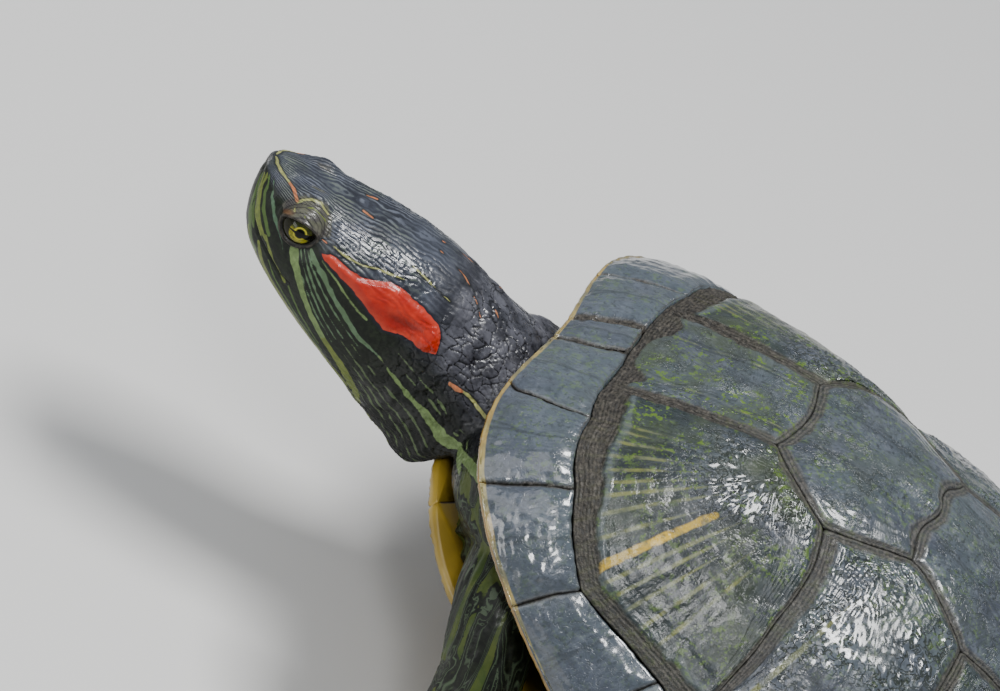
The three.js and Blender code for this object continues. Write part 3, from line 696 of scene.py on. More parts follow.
def marginal(name, start, stop, side, columns=58):
    """start and stop are stations; the nuchal, which runs across the midline, has no side."""
    points = marginal_section(*marginal_angles(start, stop, side, columns))
    per_ring = points.shape[1]
    ahead, across = np.gradient(points, axis=0), np.roll(points, -1, axis=1) - np.roll(points, 1, axis=1)
    normals = unit(np.cross(ahead, across))
    normals *= np.sign((normals[:, MARGINAL_ROWS // 2] @ np.array([0, 0, 1])).mean())

    # distances over the surface: from the inner seam, the rim and the nearer end
    along = np.linspace(0, 1, columns)[:, None]
    gaps = np.linalg.norm(np.diff(points, axis=1), axis=2)
    inward = np.concatenate([np.zeros((columns, 1)), np.cumsum(gaps, axis=1)], axis=1)
    top_length = inward[:, MARGINAL_ROWS - 1 : MARGINAL_ROWS]
    length = lengths_along(points[:, MARGINAL_ROWS // 2])[-1] * np.ones_like(inward)
    end = np.minimum(along, 1 - along) * length
    seam = np.minimum(np.where(inward < top_length, inward + 0.25, 9), end)
    rim = np.abs(inward - top_length)
    under = (inward > top_length + 0.8).astype(float)
    seam[:, -2:], rim[:, -2:], under[:, -2:] = 0.6, 50, 0
    flat = points.reshape(-1, 3)
    ragged = (0.3 * noise(flat / 3, 31) + 0.15 * noise(flat / 1.2, 32)).reshape(inward.shape)
    inner_growth = 0.0 if side else 0.4
    end_growth = np.where(along < 0.5, 1.7 if start == 0 and side else 0.4, 0.4)
    band = np.minimum(inward - inner_growth, end - end_growth) + ragged + 20 * under
    along_rim = (along - 0.5) * length
    middle_line = np.abs(along_rim + 0.6 * noise(flat / 5, 71).reshape(inward.shape))
    lines = middle_line + 0.1 * (top_length - inward).clip(0, 9)
    fields = {"seam": seam, "band": band, "ring": inward * 0.9, "rim": rim, "under": under, "lines": lines}
    fields = {key: values.ravel() for key, values in fields.items()}
    fields["grit"] = smoothstep(flat[:, 0], 46, 66)
    moss = 0.3 if start < 4 else 0.15
    for key, value in (("crumple", 0.12), ("moss", moss), ("gloss", 1), ("lip", 0), ("bold", 9)):
        fields[key] = np.full(len(flat), float(value))
    grain = np.stack([along_rim, inward / 3, 0 * inward], axis=-1).reshape(-1, 3)
    grain += [7.3 * start, 0, 5.0 * side]

    # each marginal swells like a cushion, and carries the plates' own relief
    cushion = 0.75 * smoothstep(end, 0, 5) * smoothstep(inward, 0, 4.0)
    cushion *= smoothstep(top_length - inward, -0.5, 5)
    cushion += 0.07 * np.sin(inward * 4.2) * bump(inward - 1.4, 1.5) - 0.32 * bump(seam, 0.3) - 0.25 * under
    rise = cushion.ravel() + 0.16 * noise(flat / [2.6, 2.6, 5], 72) + 0.10 * noise(flat / [1.4, 1.4, 4], 73)
    rise += plate_relief(flat, fields | {"seam": fields["seam"] + 0.9}) * (1 - fields["under"])
    moved = flat + normals.reshape(-1, 3) * rise[:, None]
    ends = moved.reshape(points.shape)[[0, -1]].mean(axis=1)
    quads = grid_faces(columns, per_ring)
    ring, last = np.arange(per_ring), len(flat) - per_ring
    caps = np.concatenate([fan_faces(len(flat), ring)[:, ::-1], fan_faces(len(flat) + 1, last + ring)])
    fields = {key: np.concatenate([values, values[:1], values[-1:]]) for key, values in fields.items()}
    grain = np.concatenate([grain, grain[:1], grain[-1:]])
    return new_mesh(name, to_row(np.concatenate([moved, ends])), quads, caps, fields, {"grain": grain})


# ---- Plastron ----

PLASTRON_LEVEL = -29
PLASTRON_FLAT = 40
PLASTRON_SEAMS = [(86.5, 86.5), (64, 80), (48, 46), (18, 12), (-28, -38), (-51, -63), (-79, -87)]
FRONT_LOBE = {"root": 40, "length": 48, "halfWidth": 46, "fullness": 2.6, "taper": 2.2}
REAR_LOBE = {"root": -36, "length": 54, "halfWidth": 45, "fullness": 2.4, "taper": 2}
PLASTRAL_NAMES = ["gular", "humeral", "pectoral", "abdominal", "femoral", "anal"]


def bridge_edge(angle):
    radius = around_rim(RIM_RADII, angle) - RIM_UNDERSIDE - 0.6
    height = around_rim(RIM_HEIGHTS, angle) - BRIDGE["drop"]
    return np.stack([radius * np.cos(angle), radius * np.sin(angle), height], -1)


def plastron_height(x, y):
    edge = bridge_edge(np.arctan2(np.abs(y), x))
    reach = np.abs(edge[..., 1])
    t = np.maximum(np.abs(y) - PLASTRON_FLAT, 0) / (reach - PLASTRON_FLAT)
    rise = on_bridge(x) * (edge[..., 2] - PLASTRON_LEVEL) * t**1.05
    return PLASTRON_LEVEL + rise + 2.5 * smoothstep(x, 60, 88)


def plastron_at(place):
    return np.concatenate([place, plastron_height(place[..., 0], place[..., 1])[..., None]], axis=-1)


def lobe_half_width(x):
    """Half the plastron's width at x: the front lobe's ahead of the middle, the rear lobe's behind it."""
    widths = []
    for lobe, sign in ((FRONT_LOBE, 1), (REAR_LOBE, -1)):
        t = np.clip((x - lobe["root"]) * sign / lobe["length"], 0, 1)
        widths.append(lobe["halfWidth"] * (1 - t ** lobe["fullness"]) ** (1 / lobe["taper"]))
    return np.where(x > 0, *widths)


def bridge_run(from_x, to_x, side):
    flank = around_rim(RIM_RADII, np.pi / 2) - RIM_UNDERSIDE
    angles = np.linspace(math.acos(from_x / flank), math.acos(to_x / flank), 12)
    return [edge[:2] * [1, side] for edge in bridge_edge(angles)]


def plastral_outline(k, side):
    (front, front_side), (rear, rear_side) = PLASTRON_SEAMS[k], PLASTRON_SEAMS[k + 1]

    def on_lobe(x):
        return np.array([x, side * lobe_half_width(np.float64(x))])

    outer = [on_lobe(x) for x in np.linspace(front_side, rear_side, 14)]
    if k == 2:
        outer = [on_lobe(front_side), *bridge_run(BRIDGE["front"] - 8, rear_side, side)]
    if k == 3:
        outer = [*bridge_run(front_side, BRIDGE["rear"] + 8, side), on_lobe(rear_side)]
    return [np.array([front, 0.0]), *outer, np.array([rear, 0.0])]


def plastral(k, side):
    outline = polyline(plastral_outline(k, side), 4)
    origin = outline.mean(axis=0)

    def relief(points, fields):
        blotch = origin + np.array([3.0 * math.sin(k * 2.1), 2.0 * side])
        away = np.hypot(*((points[:, :2] - blotch) / [1.0, 1.25]).T)
        fields["blotch"] = away - 7.5 + 2.2 * noise(points / 5, 81 + k)
        fields["seam"] = fields["seam"] + 9 * free_edge(points)
        return -0.12 * layered(points / 12, 2, 83)

    def free_edge(edge):
        on_edge = bump(np.abs(edge[:, 1]) - lobe_half_width(edge[:, 0]), 0.8)
        return 0.7 * np.maximum(on_edge, smoothstep(edge[:, 0], 84.5, 86))

    name, widths = f"scute_{PLASTRAL_NAMES[k]}_{side_name(side)}", directed(1.4, 1.2, 1.0, 1.2)
    return fan_plate(name, outline, origin, plastron_at, widths, 170, relief, 14, 26, free_edge)


# ---- Skin: one mesh over head, neck, trunk, limbs and tail ----

HEAD_SECTIONS = np.array([
    # behind the snout, crown, throat, half width, widest line's height, squareness above, below
    [2.6, 4.2, 0.5, 3.0, 2.2, 2.0, 2.0],
    [3.8, 5.1, -3.5, 5.4, 1.0, 2.3, 2.3],
    [7.0, 5.8, -9.6, 8.1, 0.0, 2.5, 2.3],
    [11, 6.6, -13.2, 10.0, -0.5, 2.6, 2.3],
    [16, 7.6, -15.6, 12.2, -1.0, 2.7, 2.3],
    [22, 9.2, -17.6, 14.0, -2.0, 2.7, 2.3],
    [30, 11.2, -19.8, 15.6, -3.0, 2.6, 2.3],
    [38, 13.0, -21.6, 16.6, -4.0, 2.4, 2.3],
    [46, 14.0, -23.6, 17.0, -5.0, 2.2, 2.2],
    [54, 13.8, -26.0, 16.8, -6.5, 2.1, 2.1],
    [62, 12.9, -27.2, 17.2, -8.0, 2.1, 2.2],
    [68, 12.2, -29.0, 18.4, -9.0, 2.1, 2.4],
    [71.0, 11.9, -28.0, 19.2, -8.0, 2.2, 2.4],
    [73.8, 11.4, -14.0, 20.5, -3.5, 2.3, 2.6],
    [84, 10.8, -12.2, 21.5, -3.0, 2.3, 2.6],
    [96, 10.2, -12.4, 19.0, -2.0, 2.1, 2.4],
])
NECK_LEVELS = (58, 76)  # where the neck's roll fades out, behind the snout
BROW = {"behind": 13.5, "side": 8.8, "rise": 2.1, "spread": 4.0}
FLOOR = -55.0
# The loose skin from shoulder to shoulder, in the shell's frame: x, y, z, half width and height.
SHOULDER_SKIN = [
    (65, -38, -2, 10, 10), (71, -20, -10, 11.5, 11), (73.5, 0, -12, 12, 11),
    (74, 20, -12, 13, 12.5), (70, 31, -8.5, 12.5, 11.5), (62, 44, 0, 10, 10),
]


def loft(rings):
    """A closed tube over rings of equally many points: its points, quads, and triangles at the ends."""
    rings = np.asarray(rings)
    count = rings.shape[1]
    points = np.concatenate([rings.reshape(-1, 3), rings[[0, -1]].mean(axis=1)])
    last = len(points) - 2 - count
    first_cap = fan_faces(len(points) - 2, np.arange(count))[:, ::-1]
    last_cap = fan_faces(len(points) - 1, last + np.arange(count))
    return points, grid_faces(len(rings), count), np.concatenate([first_cap, last_cap])


def levelled(vectors, behind, way=1):
    """Head vectors with the neck's fading roll taken out, or put back with way = -1."""
    angle = way * HEAD_TURN["roll"] * smoothstep(behind, *NECK_LEVELS)
    c, s = np.cos(angle), np.sin(angle)
    x, y, z = np.moveaxis(vectors, -1, 0)
    return np.stack([x, y * c - z * s, y * s + z * c], axis=-1)


def head_rings():
    """Rings round head and neck from snout to trunk, read smoothly from HEAD_SECTIONS."""
    behind = np.arange(2.6, 100, 0.8)
    columns = [np.interp(behind, HEAD_SECTIONS[:, 0], HEAD_SECTIONS[:, k]) for k in range(7)]
    kernel = np.hanning(7)[1:-1]
    kernel /= kernel.sum()
    padded = [np.pad(column, 2, mode="reflect", reflect_type="odd") for column in columns]
    soft = [np.convolve(column, kernel, "valid") for column in padded]
    turn = np.linspace(0, 2 * np.pi, 110, endpoint=False)
    c, s = np.cos(turn), np.sin(turn)
    rings = []
    for x, crown, throat, half_width, widest, above, below in zip(*soft):
        power = 2 / np.where(s > 0, above, below)
        y = half_width * np.sign(c) * np.abs(c) ** power
        z = widest + np.where(s > 0, crown - widest, widest - throat) * np.sign(s) * np.abs(s) ** power
        off = np.hypot(x - BROW["behind"], (np.abs(y) - BROW["side"]) * 1.2)
        z = z + np.where(s > 0, BROW["rise"] * bump(off, BROW["spread"]), 0)
        rings.append(levelled(np.stack([np.full_like(y, -x), y, z], axis=-1), x, -1))
    return np.array(rings)


def smooth_path(stops, step=1.0):
    """Stops read smoothly every step millimetres, all their values together."""
    stops = np.asarray(stops, float)
    at = lengths_along(stops[:, :3])
    even = np.linspace(0, at[-1], max(int(at[-1] / step), 4))
    path = np.stack([np.interp(even, at, column) for column in stops.T], axis=-1)
    for _ in range(int(12 / step)):
        path[1:-1] = (path[:-2] + 2 * path[1:-1] + path[2:]) / 4
    return path


def tube(stops, around=40, step=1.0):
    """Rings square to a path, without twist, kept above the floor."""
    path = smooth_path(stops, step)
    centres = path[:, :3]
    tangents = unit(np.gradient(centres, axis=0))
    sideways = np.cross([0, 0, 1.0], tangents[0])
    turn = np.linspace(0, 2 * np.pi, around, endpoint=False)
    rings = []
    for i, (centre, along) in enumerate(zip(centres, tangents)):
        sideways = unit(sideways - along * (sideways @ along))
        upright = np.cross(along, sideways)
        ring = centre + np.outer(np.cos(turn), sideways) * path[i, 3]
        ring += np.outer(np.sin(turn), upright) * path[i, 4]
        ring[:, 2] = np.maximum(ring[:, 2], FLOOR)
        rings.append(ring)
    return np.array(rings)


# Each leg: how its foot is made, where it points, and stops from the shoulder or hip down to the foot, in the
# level frame: x, y, z, half width and height.
FORELEG = {"toes": 5, "spread": math.radians(40), "reach": 15, "palm": (24, 22), "ahead": 5, "web": 0.45}
HINDLEG = {"toes": 4, "spread": math.radians(32), "reach": 20, "palm": (30, 23), "ahead": 9, "web": 0.85}
LEGS = {
    "foreleg_left": dict(FORELEG, heading=math.radians(38), path=[
        (63, 34, 5, 10, 11), (61, 44, 3.5, 10, 11), (58.5, 52, 0, 9.4, 10.2), (53.5, 57.5, -9, 9, 9.4),
        (52, 61.5, -19, 8.4, 8.6), (53, 65, -30, 8.2, 8.2), (56, 68.5, -40, 8.4, 8), (58, 70, -50, 8.2, 7),
    ]),
    "foreleg_right": dict(FORELEG, heading=math.radians(-30), path=[
        (63, -34, 4, 10, 11), (62, -44, 2, 10, 11), (61, -53, -2, 9.2, 10.2), (62, -59, -10, 9.6, 9.8),
        (65, -63.5, -20, 9.4, 9.4), (70, -66.5, -31, 8.8, 8.4), (76, -68.5, -41.5, 8.4, 7.8),
        (79, -70, -50, 8.2, 7),
    ]),
    "hindleg_left": dict(HINDLEG, heading=math.radians(62), path=[
        (-44, 38, -24, 9, 9), (-50, 52, -30, 9.5, 9.5), (-52, 61, -33, 11.5, 10.8),
        (-49, 69, -35.5, 11.4, 10.6), (-53, 77, -39.5, 10.2, 9.8), (-59, 82, -45, 9.2, 8.6),
        (-61, 85, -50, 8.8, 7),
    ]),
    "hindleg_right": dict(HINDLEG, heading=math.radians(-118), path=[
        (-48, -38, -25, 9, 9), (-57, -50, -31.5, 9.5, 9.5), (-65, -59, -34.5, 11.4, 10.6),
        (-72, -65, -37, 11.2, 10.2), (-79, -70, -41, 10, 9.4), (-84, -75, -46, 9.2, 8.2),
        (-87, -79, -50, 8.8, 7),
    ]),
}
TAIL = [
    (-64, 0, -33, 9, 7.5), (-78, 1, -38.5, 8, 6.6), (-90, 2.5, -43.5, 6, 5),
    (-101, 5, -47.5, 4, 3.6), (-111, 8.5, -50, 2.4, 2.3), (-119, 12.5, -51.2, 0.9, 0.9),
]
TOE_RADIUS = 2.1
CLAW_LENGTH = 7
WEB_HALF = np.array([0, 0, 0.75])  # half the web's thickness
SOLE_SINK = 0.55


def heading_way(angle):
    return np.array([math.cos(angle), math.sin(angle), 0])


def palm_middle(leg):
    """The point on the floor that a leg's toes spread from."""
    return np.array([*leg["path"][-1][:2], FLOOR]) + heading_way(leg["heading"]) * leg["ahead"]


def toe_lines(leg):
    """For each toe: where it starts, which way it points, and how long it is."""
    middle = (leg["toes"] - 1) / 2
    lines = []
    for i in range(leg["toes"]):
        t = (i - middle) / middle
        along = heading_way(leg["heading"] + t * leg["spread"])
        lines.append((palm_middle(leg), along, leg["reach"] * (1 - 0.13 * abs(t) ** 1.5)))
    return lines


def toe_stops(leg, start, along, length):
    """A toe from the palm over its knuckle to the claw: height, then width and height past TOE_RADIUS."""
    knuckles = (
        (leg["palm"][1] * 0.15, 4.2, 1, 0.8), (length * 0.45, 3.5, 0.2, 0.7), (length * 0.7, 3.2, 0.5, 0.6),
        (length * 0.88, 2.6, 0, 0.2), (length + 0.4, 2.3, -0.5, -0.3),
    )
    stops = []
    for distance, height, wide, high in knuckles:
        stops.append((*start + along * distance + [0, 0, height], TOE_RADIUS + wide, TOE_RADIUS + high))
    return stops


def web_between(leg, a, b):
    """A thin web between two toes: rings run from one toe to the other."""
    start = palm_middle(leg)
    rings = []
    for t in np.linspace(0, 1, 9):
        along = unit(a[1] * (1 - t) + b[1] * t)
        length = (a[2] * (1 - t) + b[2] * t) * (leg["web"] * (1 - 0.9 * t * (1 - t)))
        back = start + along * leg["palm"][1] * 0.1 + [0, 0, 3.0]
        tip = start + along * max(length, leg["palm"][1] * 0.2) + [0, 0, 2.2]
        rings.append([back + WEB_HALF, tip + WEB_HALF, tip - WEB_HALF, back - WEB_HALF])
    return np.array(rings)


def leg_parts(leg):
    """One leg as closed parts that overlap: the leg itself, its sole, its toes and the webs between them."""
    palm, (length, width) = palm_middle(leg), leg["palm"]
    along = heading_way(leg["heading"])
    sole = []
    for t in np.linspace(-1, 1, 13):
        swell = math.sqrt(max(1 - t * t, 0.12))
        height = 5.3 - 1.2 * t
        x, y, z = palm + along * t * length / 2
        sole.append((x, y, z + height * SOLE_SINK, width / 2 * swell, height * swell))
    parts = [loft(tube(leg["path"])), loft(tube(sole, 32, 0.8))]
    lines = toe_lines(leg)
    parts += [loft(tube(toe_stops(leg, *line), 20, 0.6)) for line in lines]
    parts += [loft(web_between(leg, a, b)) for a, b in zip(lines, lines[1:])]
    return parts


def trunk_rings():
    """The flesh inside the shell: a lens whose rim leaves pockets for the neck, the limbs and the tail."""
    inset = PLATE + 1.6
    angle = np.linspace(0, 2 * np.pi, 120, endpoint=False)
    lengthways = np.cos(angle) ** 2
    wall = 14.5 + (np.where(np.cos(angle) > 0, 18, 16) - 14.5) * lengthways
    radius = around_rim(RIM_RADII, angle)
    upper, lower = [], []
    for s in (0.05, 0.2, 0.35, 0.5, 0.65, 0.78, 0.88, 0.95, 1):
        top = dome_point(s * (radius - wall) / (radius - inset), angle, inset)
        width = lobe_half_width(top[:, 0])
        pocket = smoothstep(np.abs(top[:, 1]), width - 5, width + 3)
        floor = plastron_height(top[:, 0], top[:, 1]) + PLATE + 0.8
        bottom = floor + (-9 - floor) * pocket * (1 - on_bridge(top[:, 0]))
        upper.append(top)
        lower.append(np.concatenate([top[:, :2], bottom[:, None]], axis=1))
    return np.array([*upper, *lower[::-1]])


def to_level(points):
    """From the shell's frame to level axes, still in millimetres from the shell's origin."""
    return np.asarray(points) @ SHELL_TURN.T


def from_level(points):
    return np.asarray(points) @ SHELL_TURN


def merged(parts):
    """Several closed meshes as one object's mesh, ready to be remeshed into one skin."""
    points, quads, triangles, first = [], [], [], 0
    for part_points, part_quads, part_caps in map(outward_part, parts):
        points.append(part_points)
        quads.append(part_quads + first)
        triangles.append(part_caps + first)
        first += len(part_points)
    return np.concatenate(points), np.concatenate(quads), np.concatenate(triangles)


def remeshed(points, quads, triangles, size):
    """One watertight skin round all the parts, as points and quads in millimetres."""
    rough = new_mesh("skin_rough", points, quads, triangles)
    remesh = rough.modifiers.new("one_skin", "REMESH")
    remesh.mode = "VOXEL"
    remesh.voxel_size = size
    depsgraph = bpy.context.evaluated_depsgraph_get()
    made = rough.evaluated_get(depsgraph).to_mesh()
    out = np.zeros(len(made.vertices) * 3, np.float32)
    made.vertices.foreach_get("co", out)
    loops = np.zeros(len(made.loops), np.int32)
    made.loops.foreach_get("vertex_index", loops)
    faces = loops.reshape(-1, 4)
    rough.evaluated_get(depsgraph).to_mesh_clear()
    mesh = rough.data
    bpy.data.objects.remove(rough)
    bpy.data.meshes.remove(mesh)
    return out.reshape(-1, 3).astype(float), faces.astype(int)


def halve(points, faces, chosen):
    """Split each chosen quad in four, and any of its neighbours so that no gap opens."""
    edges = np.stack([faces, np.roll(faces, -1, axis=1)], axis=-1)
    keys = np.sort(edges, axis=-1)
    codes = keys[..., 0] * np.int64(len(points)) + keys[..., 1]
    split_codes = np.unique(codes[chosen])
    at = np.searchsorted(split_codes, codes).clip(max=len(split_codes) - 1)
    is_split = split_codes[at] == codes
    low, high = split_codes // len(points), split_codes % len(points)
    middles = (points[low] + points[high]) / 2
    first_middle = len(points)
    first_centre = first_middle + len(middles)
    centres = points[faces[chosen]].mean(axis=1)
    mids = first_middle + at
    whole = faces[chosen]
    hub = first_centre + np.arange(len(whole))
    m = mids[chosen]
    quads = [np.stack([whole[:, k], m[:, k], hub, m[:, k - 1]], axis=-1) for k in range(4)]
    rest = ~chosen & ~is_split.any(axis=1)
    border = np.flatnonzero(~chosen & is_split.any(axis=1))
    triangles = []
    for f in border:
        ring = []
        for k in range(4):
            ring.append(faces[f, k])
            if is_split[f, k]:
                ring.append(mids[f, k])
        start = next(i for i, v in enumerate(ring) if v >= first_middle)
        ring = ring[start:] + ring[:start]
        triangles += [(ring[0], ring[i], ring[i + 1]) for i in range(1, len(ring) - 1)]
    everything = np.concatenate([points, middles, centres])
    return everything, np.concatenate([faces[rest], *quads]), np.array(triangles, int).reshape(-1, 3)


def smoothed(points, quads, triangles, rounds):
    """Draw every point towards the middle of its neighbours, and back again, so that nothing shrinks."""
    edges = [np.stack([f, np.roll(f, -1, axis=1)], axis=-1).reshape(-1, 2) for f in (quads, triangles)]
    a, b = np.concatenate(edges).T
    a, b = np.concatenate([a, b]), np.concatenate([b, a])
    count = np.bincount(a, minlength=len(points))[:, None]
    for k in range(rounds):
        mean = np.stack([np.bincount(a, points[b, c], len(points)) for c in range(3)], axis=-1) / count
        points = points + (mean - points) * (0.5 if k % 2 == 0 else -0.52)
    return points


def normals_of(points, quads, triangles):
    split, a, b, c = corners_of(points, quads, triangles)
    face = np.cross(b - a, c - a)
    total = np.zeros_like(points)
    for k in range(3):
        for axis in range(3):
            total[:, axis] += np.bincount(split[:, k], face[:, axis], len(points))
    return unit(total)


# ---- The head's own coordinates: behind the snout, and round from crown (0) to throat (180) ----


def section(behind):
    return [np.interp(behind, HEAD_SECTIONS[:, 0], column) for column in HEAD_SECTIONS[:, 1:].T]


def girth(points):
    """How far round each head point lies, in degrees from the crown."""
    crown, throat, half_width, widest, square_above, square_below = section(-points[:, 0])
    y = np.minimum(np.abs(points[:, 1]) / half_width, 1)
    z = points[:, 2] - widest
    above = z > 0
    level = np.clip(np.where(above, z / (crown - widest), z / (widest - throat)), -1, 1)
    power = np.where(above, square_above, square_below) / 2
    return 90 - np.degrees(np.arctan2(np.sign(level) * np.abs(level) ** power, y**power))


def girth_scale(behind):
    """Millimetres of skin to a degree of girth."""
    crown, throat, half_width = section(behind)[:3]
    return (half_width * 2 + crown - throat) / 4 * math.pi / 180


def stripe_field(behind, round_, stops):
    """Distance in millimetres from a stripe's edge, negative inside. Stops: (behind, girth, half width)."""
    scale = girth_scale(behind)
    nearest = np.full(len(behind), 9.0)
    for (u0, g0, w0), (u1, g1, w1) in zip(stops, stops[1:]):
        run, rise = u1 - u0, (g1 - g0) * scale
        du, dg = behind - u0, (round_ - g0) * scale
        t = np.clip((du * run + dg * rise) / (run * run + rise * rise), 0, 1)
        nearest = np.minimum(nearest, np.hypot(du - t * run, dg - t * rise) - (w0 + t * (w1 - w0)))
    return nearest


PALE_GREEN = (0.138, 0.200, 0.072)
DULL_GREEN = (0.065, 0.125, 0.075)
YELLOW_GREEN = (0.135, 0.165, 0.030)
BEAK_GREEN = (0.060, 0.105, 0.025)
NECK_GREEN = (0.075, 0.105, 0.048)
CHEEK_GREEN = (0.085, 0.140, 0.076)
PALE_YELLOW = (0.26, 0.26, 0.09)
ORANGE = (0.38, 0.125, 0.055)
STRIPES = [
    # colour, stops from front to rear, how far the stripe is broken up
    (PALE_YELLOW, [(3.1, 8, 0.25), (3.8, 28, 0.45), (5, 38, 0.45), (7.6, 42, 0.35)], 0.1),
    (ORANGE, [(7.8, 43, 0.35), (9, 46.5, 0.38), (10.6, 56, 0.4)], 0),
    (PALE_YELLOW, [
        (12.4, 72, 0.2), (10.9, 63, 0.25), (11.3, 48, 0.3), (12.6, 38, 0.3), (15, 34, 0.3), (17.6, 38, 0.2),
    ], 0.25),
    (YELLOW_GREEN, [
        (14.2, 68, 0.15), (12.9, 58, 0.2), (14, 47, 0.22), (17.5, 47, 0.2), (19.6, 55, 0.15),
    ], 0.35),
    (PALE_GREEN, [
        (17.2, 98.5, 0.8), (20.4, 103, 0.8), (23.4, 108.5, 0.7),
        (26.7, 114, 0.7), (30.4, 119, 0.75), (35.4, 124, 0.85),
    ], 0),
    (YELLOW_GREEN, [
        (35.4, 124, 0.85), (39, 126.5, 1.0), (41.8, 128, 1.3),
        (45.2, 132.5, 1.5), (48.7, 137.5, 1.7), (52, 145, 1.0),
    ], 0.1),
    (CHEEK_GREEN, [
        (20.9, 88.7, 0.28), (25.6, 90.5, 0.34), (29.6, 92.8, 0.38),
        (34.5, 95, 0.5), (39.8, 97.5, 0.42), (45.5, 95.7, 0.2),
    ], 0),
    (PALE_GREEN, [
        (22.7, 84.8, 0.1), (24.2, 85.5, 0.16), (27.7, 86.3, 0.2),
        (31.5, 87.4, 0.2), (35.2, 88, 0.18), (38, 87.4, 0.1),
    ], 0.1),
    (CHEEK_GREEN, [
        (19.6, 92.2, 0.14), (23.2, 96.7, 0.18), (26.7, 101, 0.22), (31, 104.5, 0.24), (37.7, 107, 0.15),
    ], 0.1),
    (CHEEK_GREEN, [
        (19.0, 94.6, 0.14), (21.8, 98.2, 0.17), (26, 104, 0.2), (31.8, 110, 0.22), (37, 113, 0.15),
    ], 0.1),
    (CHEEK_GREEN, [(20.4, 90.6, 0.10), (27, 96, 0.15), (33, 99.5, 0.17), (41, 102, 0.12)], 0.15),
    (CHEEK_GREEN, [(19.4, 98.5, 0.10), (25, 106.5, 0.15), (30, 113, 0.16), (37, 118, 0.12)], 0.15),
    (PALE_YELLOW, [
        (22.6, 66, 0.15), (24.2, 66, 0.22), (26.5, 64.5, 0.25),
        (29.4, 61, 0.25), (32.2, 54, 0.2), (38, 47, 0.15),
    ], 0.25),
    (PALE_YELLOW, [(38, 33, 0.1), (43, 36, 0.25), (46.8, 37.5, 0.25), (49, 37, 0.15)], 0.3),
    (YELLOW_GREEN, [
        (12, 131, 0.3), (13.8, 137, 0.6), (16, 143, 0.85), (20, 146, 1.05),
        (28, 147, 1.15), (38, 147, 1.2), (47, 147, 1.3),
    ], 0),
    (YELLOW_GREEN, [(11.8, 115, 0.25), (14.4, 120, 0.4), (16.4, 122.4, 0.35), (21.3, 123.4, 0.3)], 0),
    (BEAK_GREEN, [(22.5, 121.5, 0.25), (28, 130, 0.3), (36, 135.5, 0.25)], 0),
    (BEAK_GREEN, [(16, 129, 0.2), (20, 134, 0.25), (28, 138, 0.3), (38, 140, 0.25)], 0),
    (YELLOW_GREEN, [(9, 149, 0.5), (14, 153, 0.7), (24, 155, 0.75), (44, 154, 0.7), (64, 150, 0.5)], 0.1),
    (BEAK_GREEN, [(9, 160, 0.3), (24, 161, 0.45), (44, 160, 0.5), (66, 158, 0.4)], 0.1),
    (YELLOW_GREEN, [(12, 169, 0.4), (24, 168, 0.7), (44, 168, 0.7), (66, 167, 0.6)], 0.1),
    (YELLOW_GREEN, [(11, 180, 0.5), (30, 180, 0.9), (50, 180, 0.7), (68, 180, 0.6)], 0.1),
    (PALE_GREEN, [
        (45.5, 95.5, 0.2), (50.3, 97.5, 0.4), (54, 97.7, 0.45), (58.3, 97.5, 0.7), (62, 95.5, 0.85),
    ], 0.3),
    (PALE_GREEN, [(62, 95.5, 0.85), (66, 92.8, 1.1), (69.6, 92, 1.15), (72, 92, 1.0)], 0.25),
    (ORANGE, [(60.8, 73.5, 0.35), (62.2, 71.2, 0.6), (64.4, 68, 0.3)], 0.5),
    (PALE_YELLOW, [
        (64.0, 68.5, 0.25), (65.2, 66.8, 0.35), (67.5, 65, 0.4), (71.2, 65.5, 0.35), (84, 68, 0.35),
    ], 0.1),
    (NECK_GREEN, [(40, 105, 0.15), (50, 108, 0.28), (58, 106, 0.3), (68, 103, 0.3)], 0.35),
    (NECK_GREEN, [(38, 110, 0.15), (50, 115, 0.3), (60, 114, 0.32), (70, 113, 0.3)], 0.25),
    (NECK_GREEN, [(40, 117, 0.15), (53, 121, 0.28), (64, 122, 0.3), (70, 124, 0.28)], 0.3),
    (NECK_GREEN, [(47.6, 124, 0.15), (55, 128, 0.3), (63.6, 132, 0.32), (70, 137, 0.25)], 0.25),
    (NECK_GREEN, [(50, 133, 0.15), (58, 137, 0.28), (68, 143, 0.25)], 0.35),
    (NECK_GREEN, [(48, 86, 0.12), (56, 86, 0.22), (64, 84, 0.25), (72, 82, 0.25)], 0.5),
    (NECK_GREEN, [(50, 91, 0.1), (60, 89, 0.2), (70, 86, 0.22)], 0.5),
    (ORANGE, [(23.8, 8, 0.25), (26, 10, 0.3)], 0),
    (ORANGE, [(53.1, 20.3, 0.18), (55.2, 25, 0.2), (56.9, 29, 0.18)], 0.35),
    (ORANGE, [(58.9, 15, 0.18), (60.4, 18, 0.18)], 0.3),
    (ORANGE, [(42, 5, 0.1), (49, 11, 0.16), (53, 17, 0.14)], 0.5),
    (ORANGE, [(20.6, 70, 0.2), (21.4, 69, 0.22)], 0.2),
]
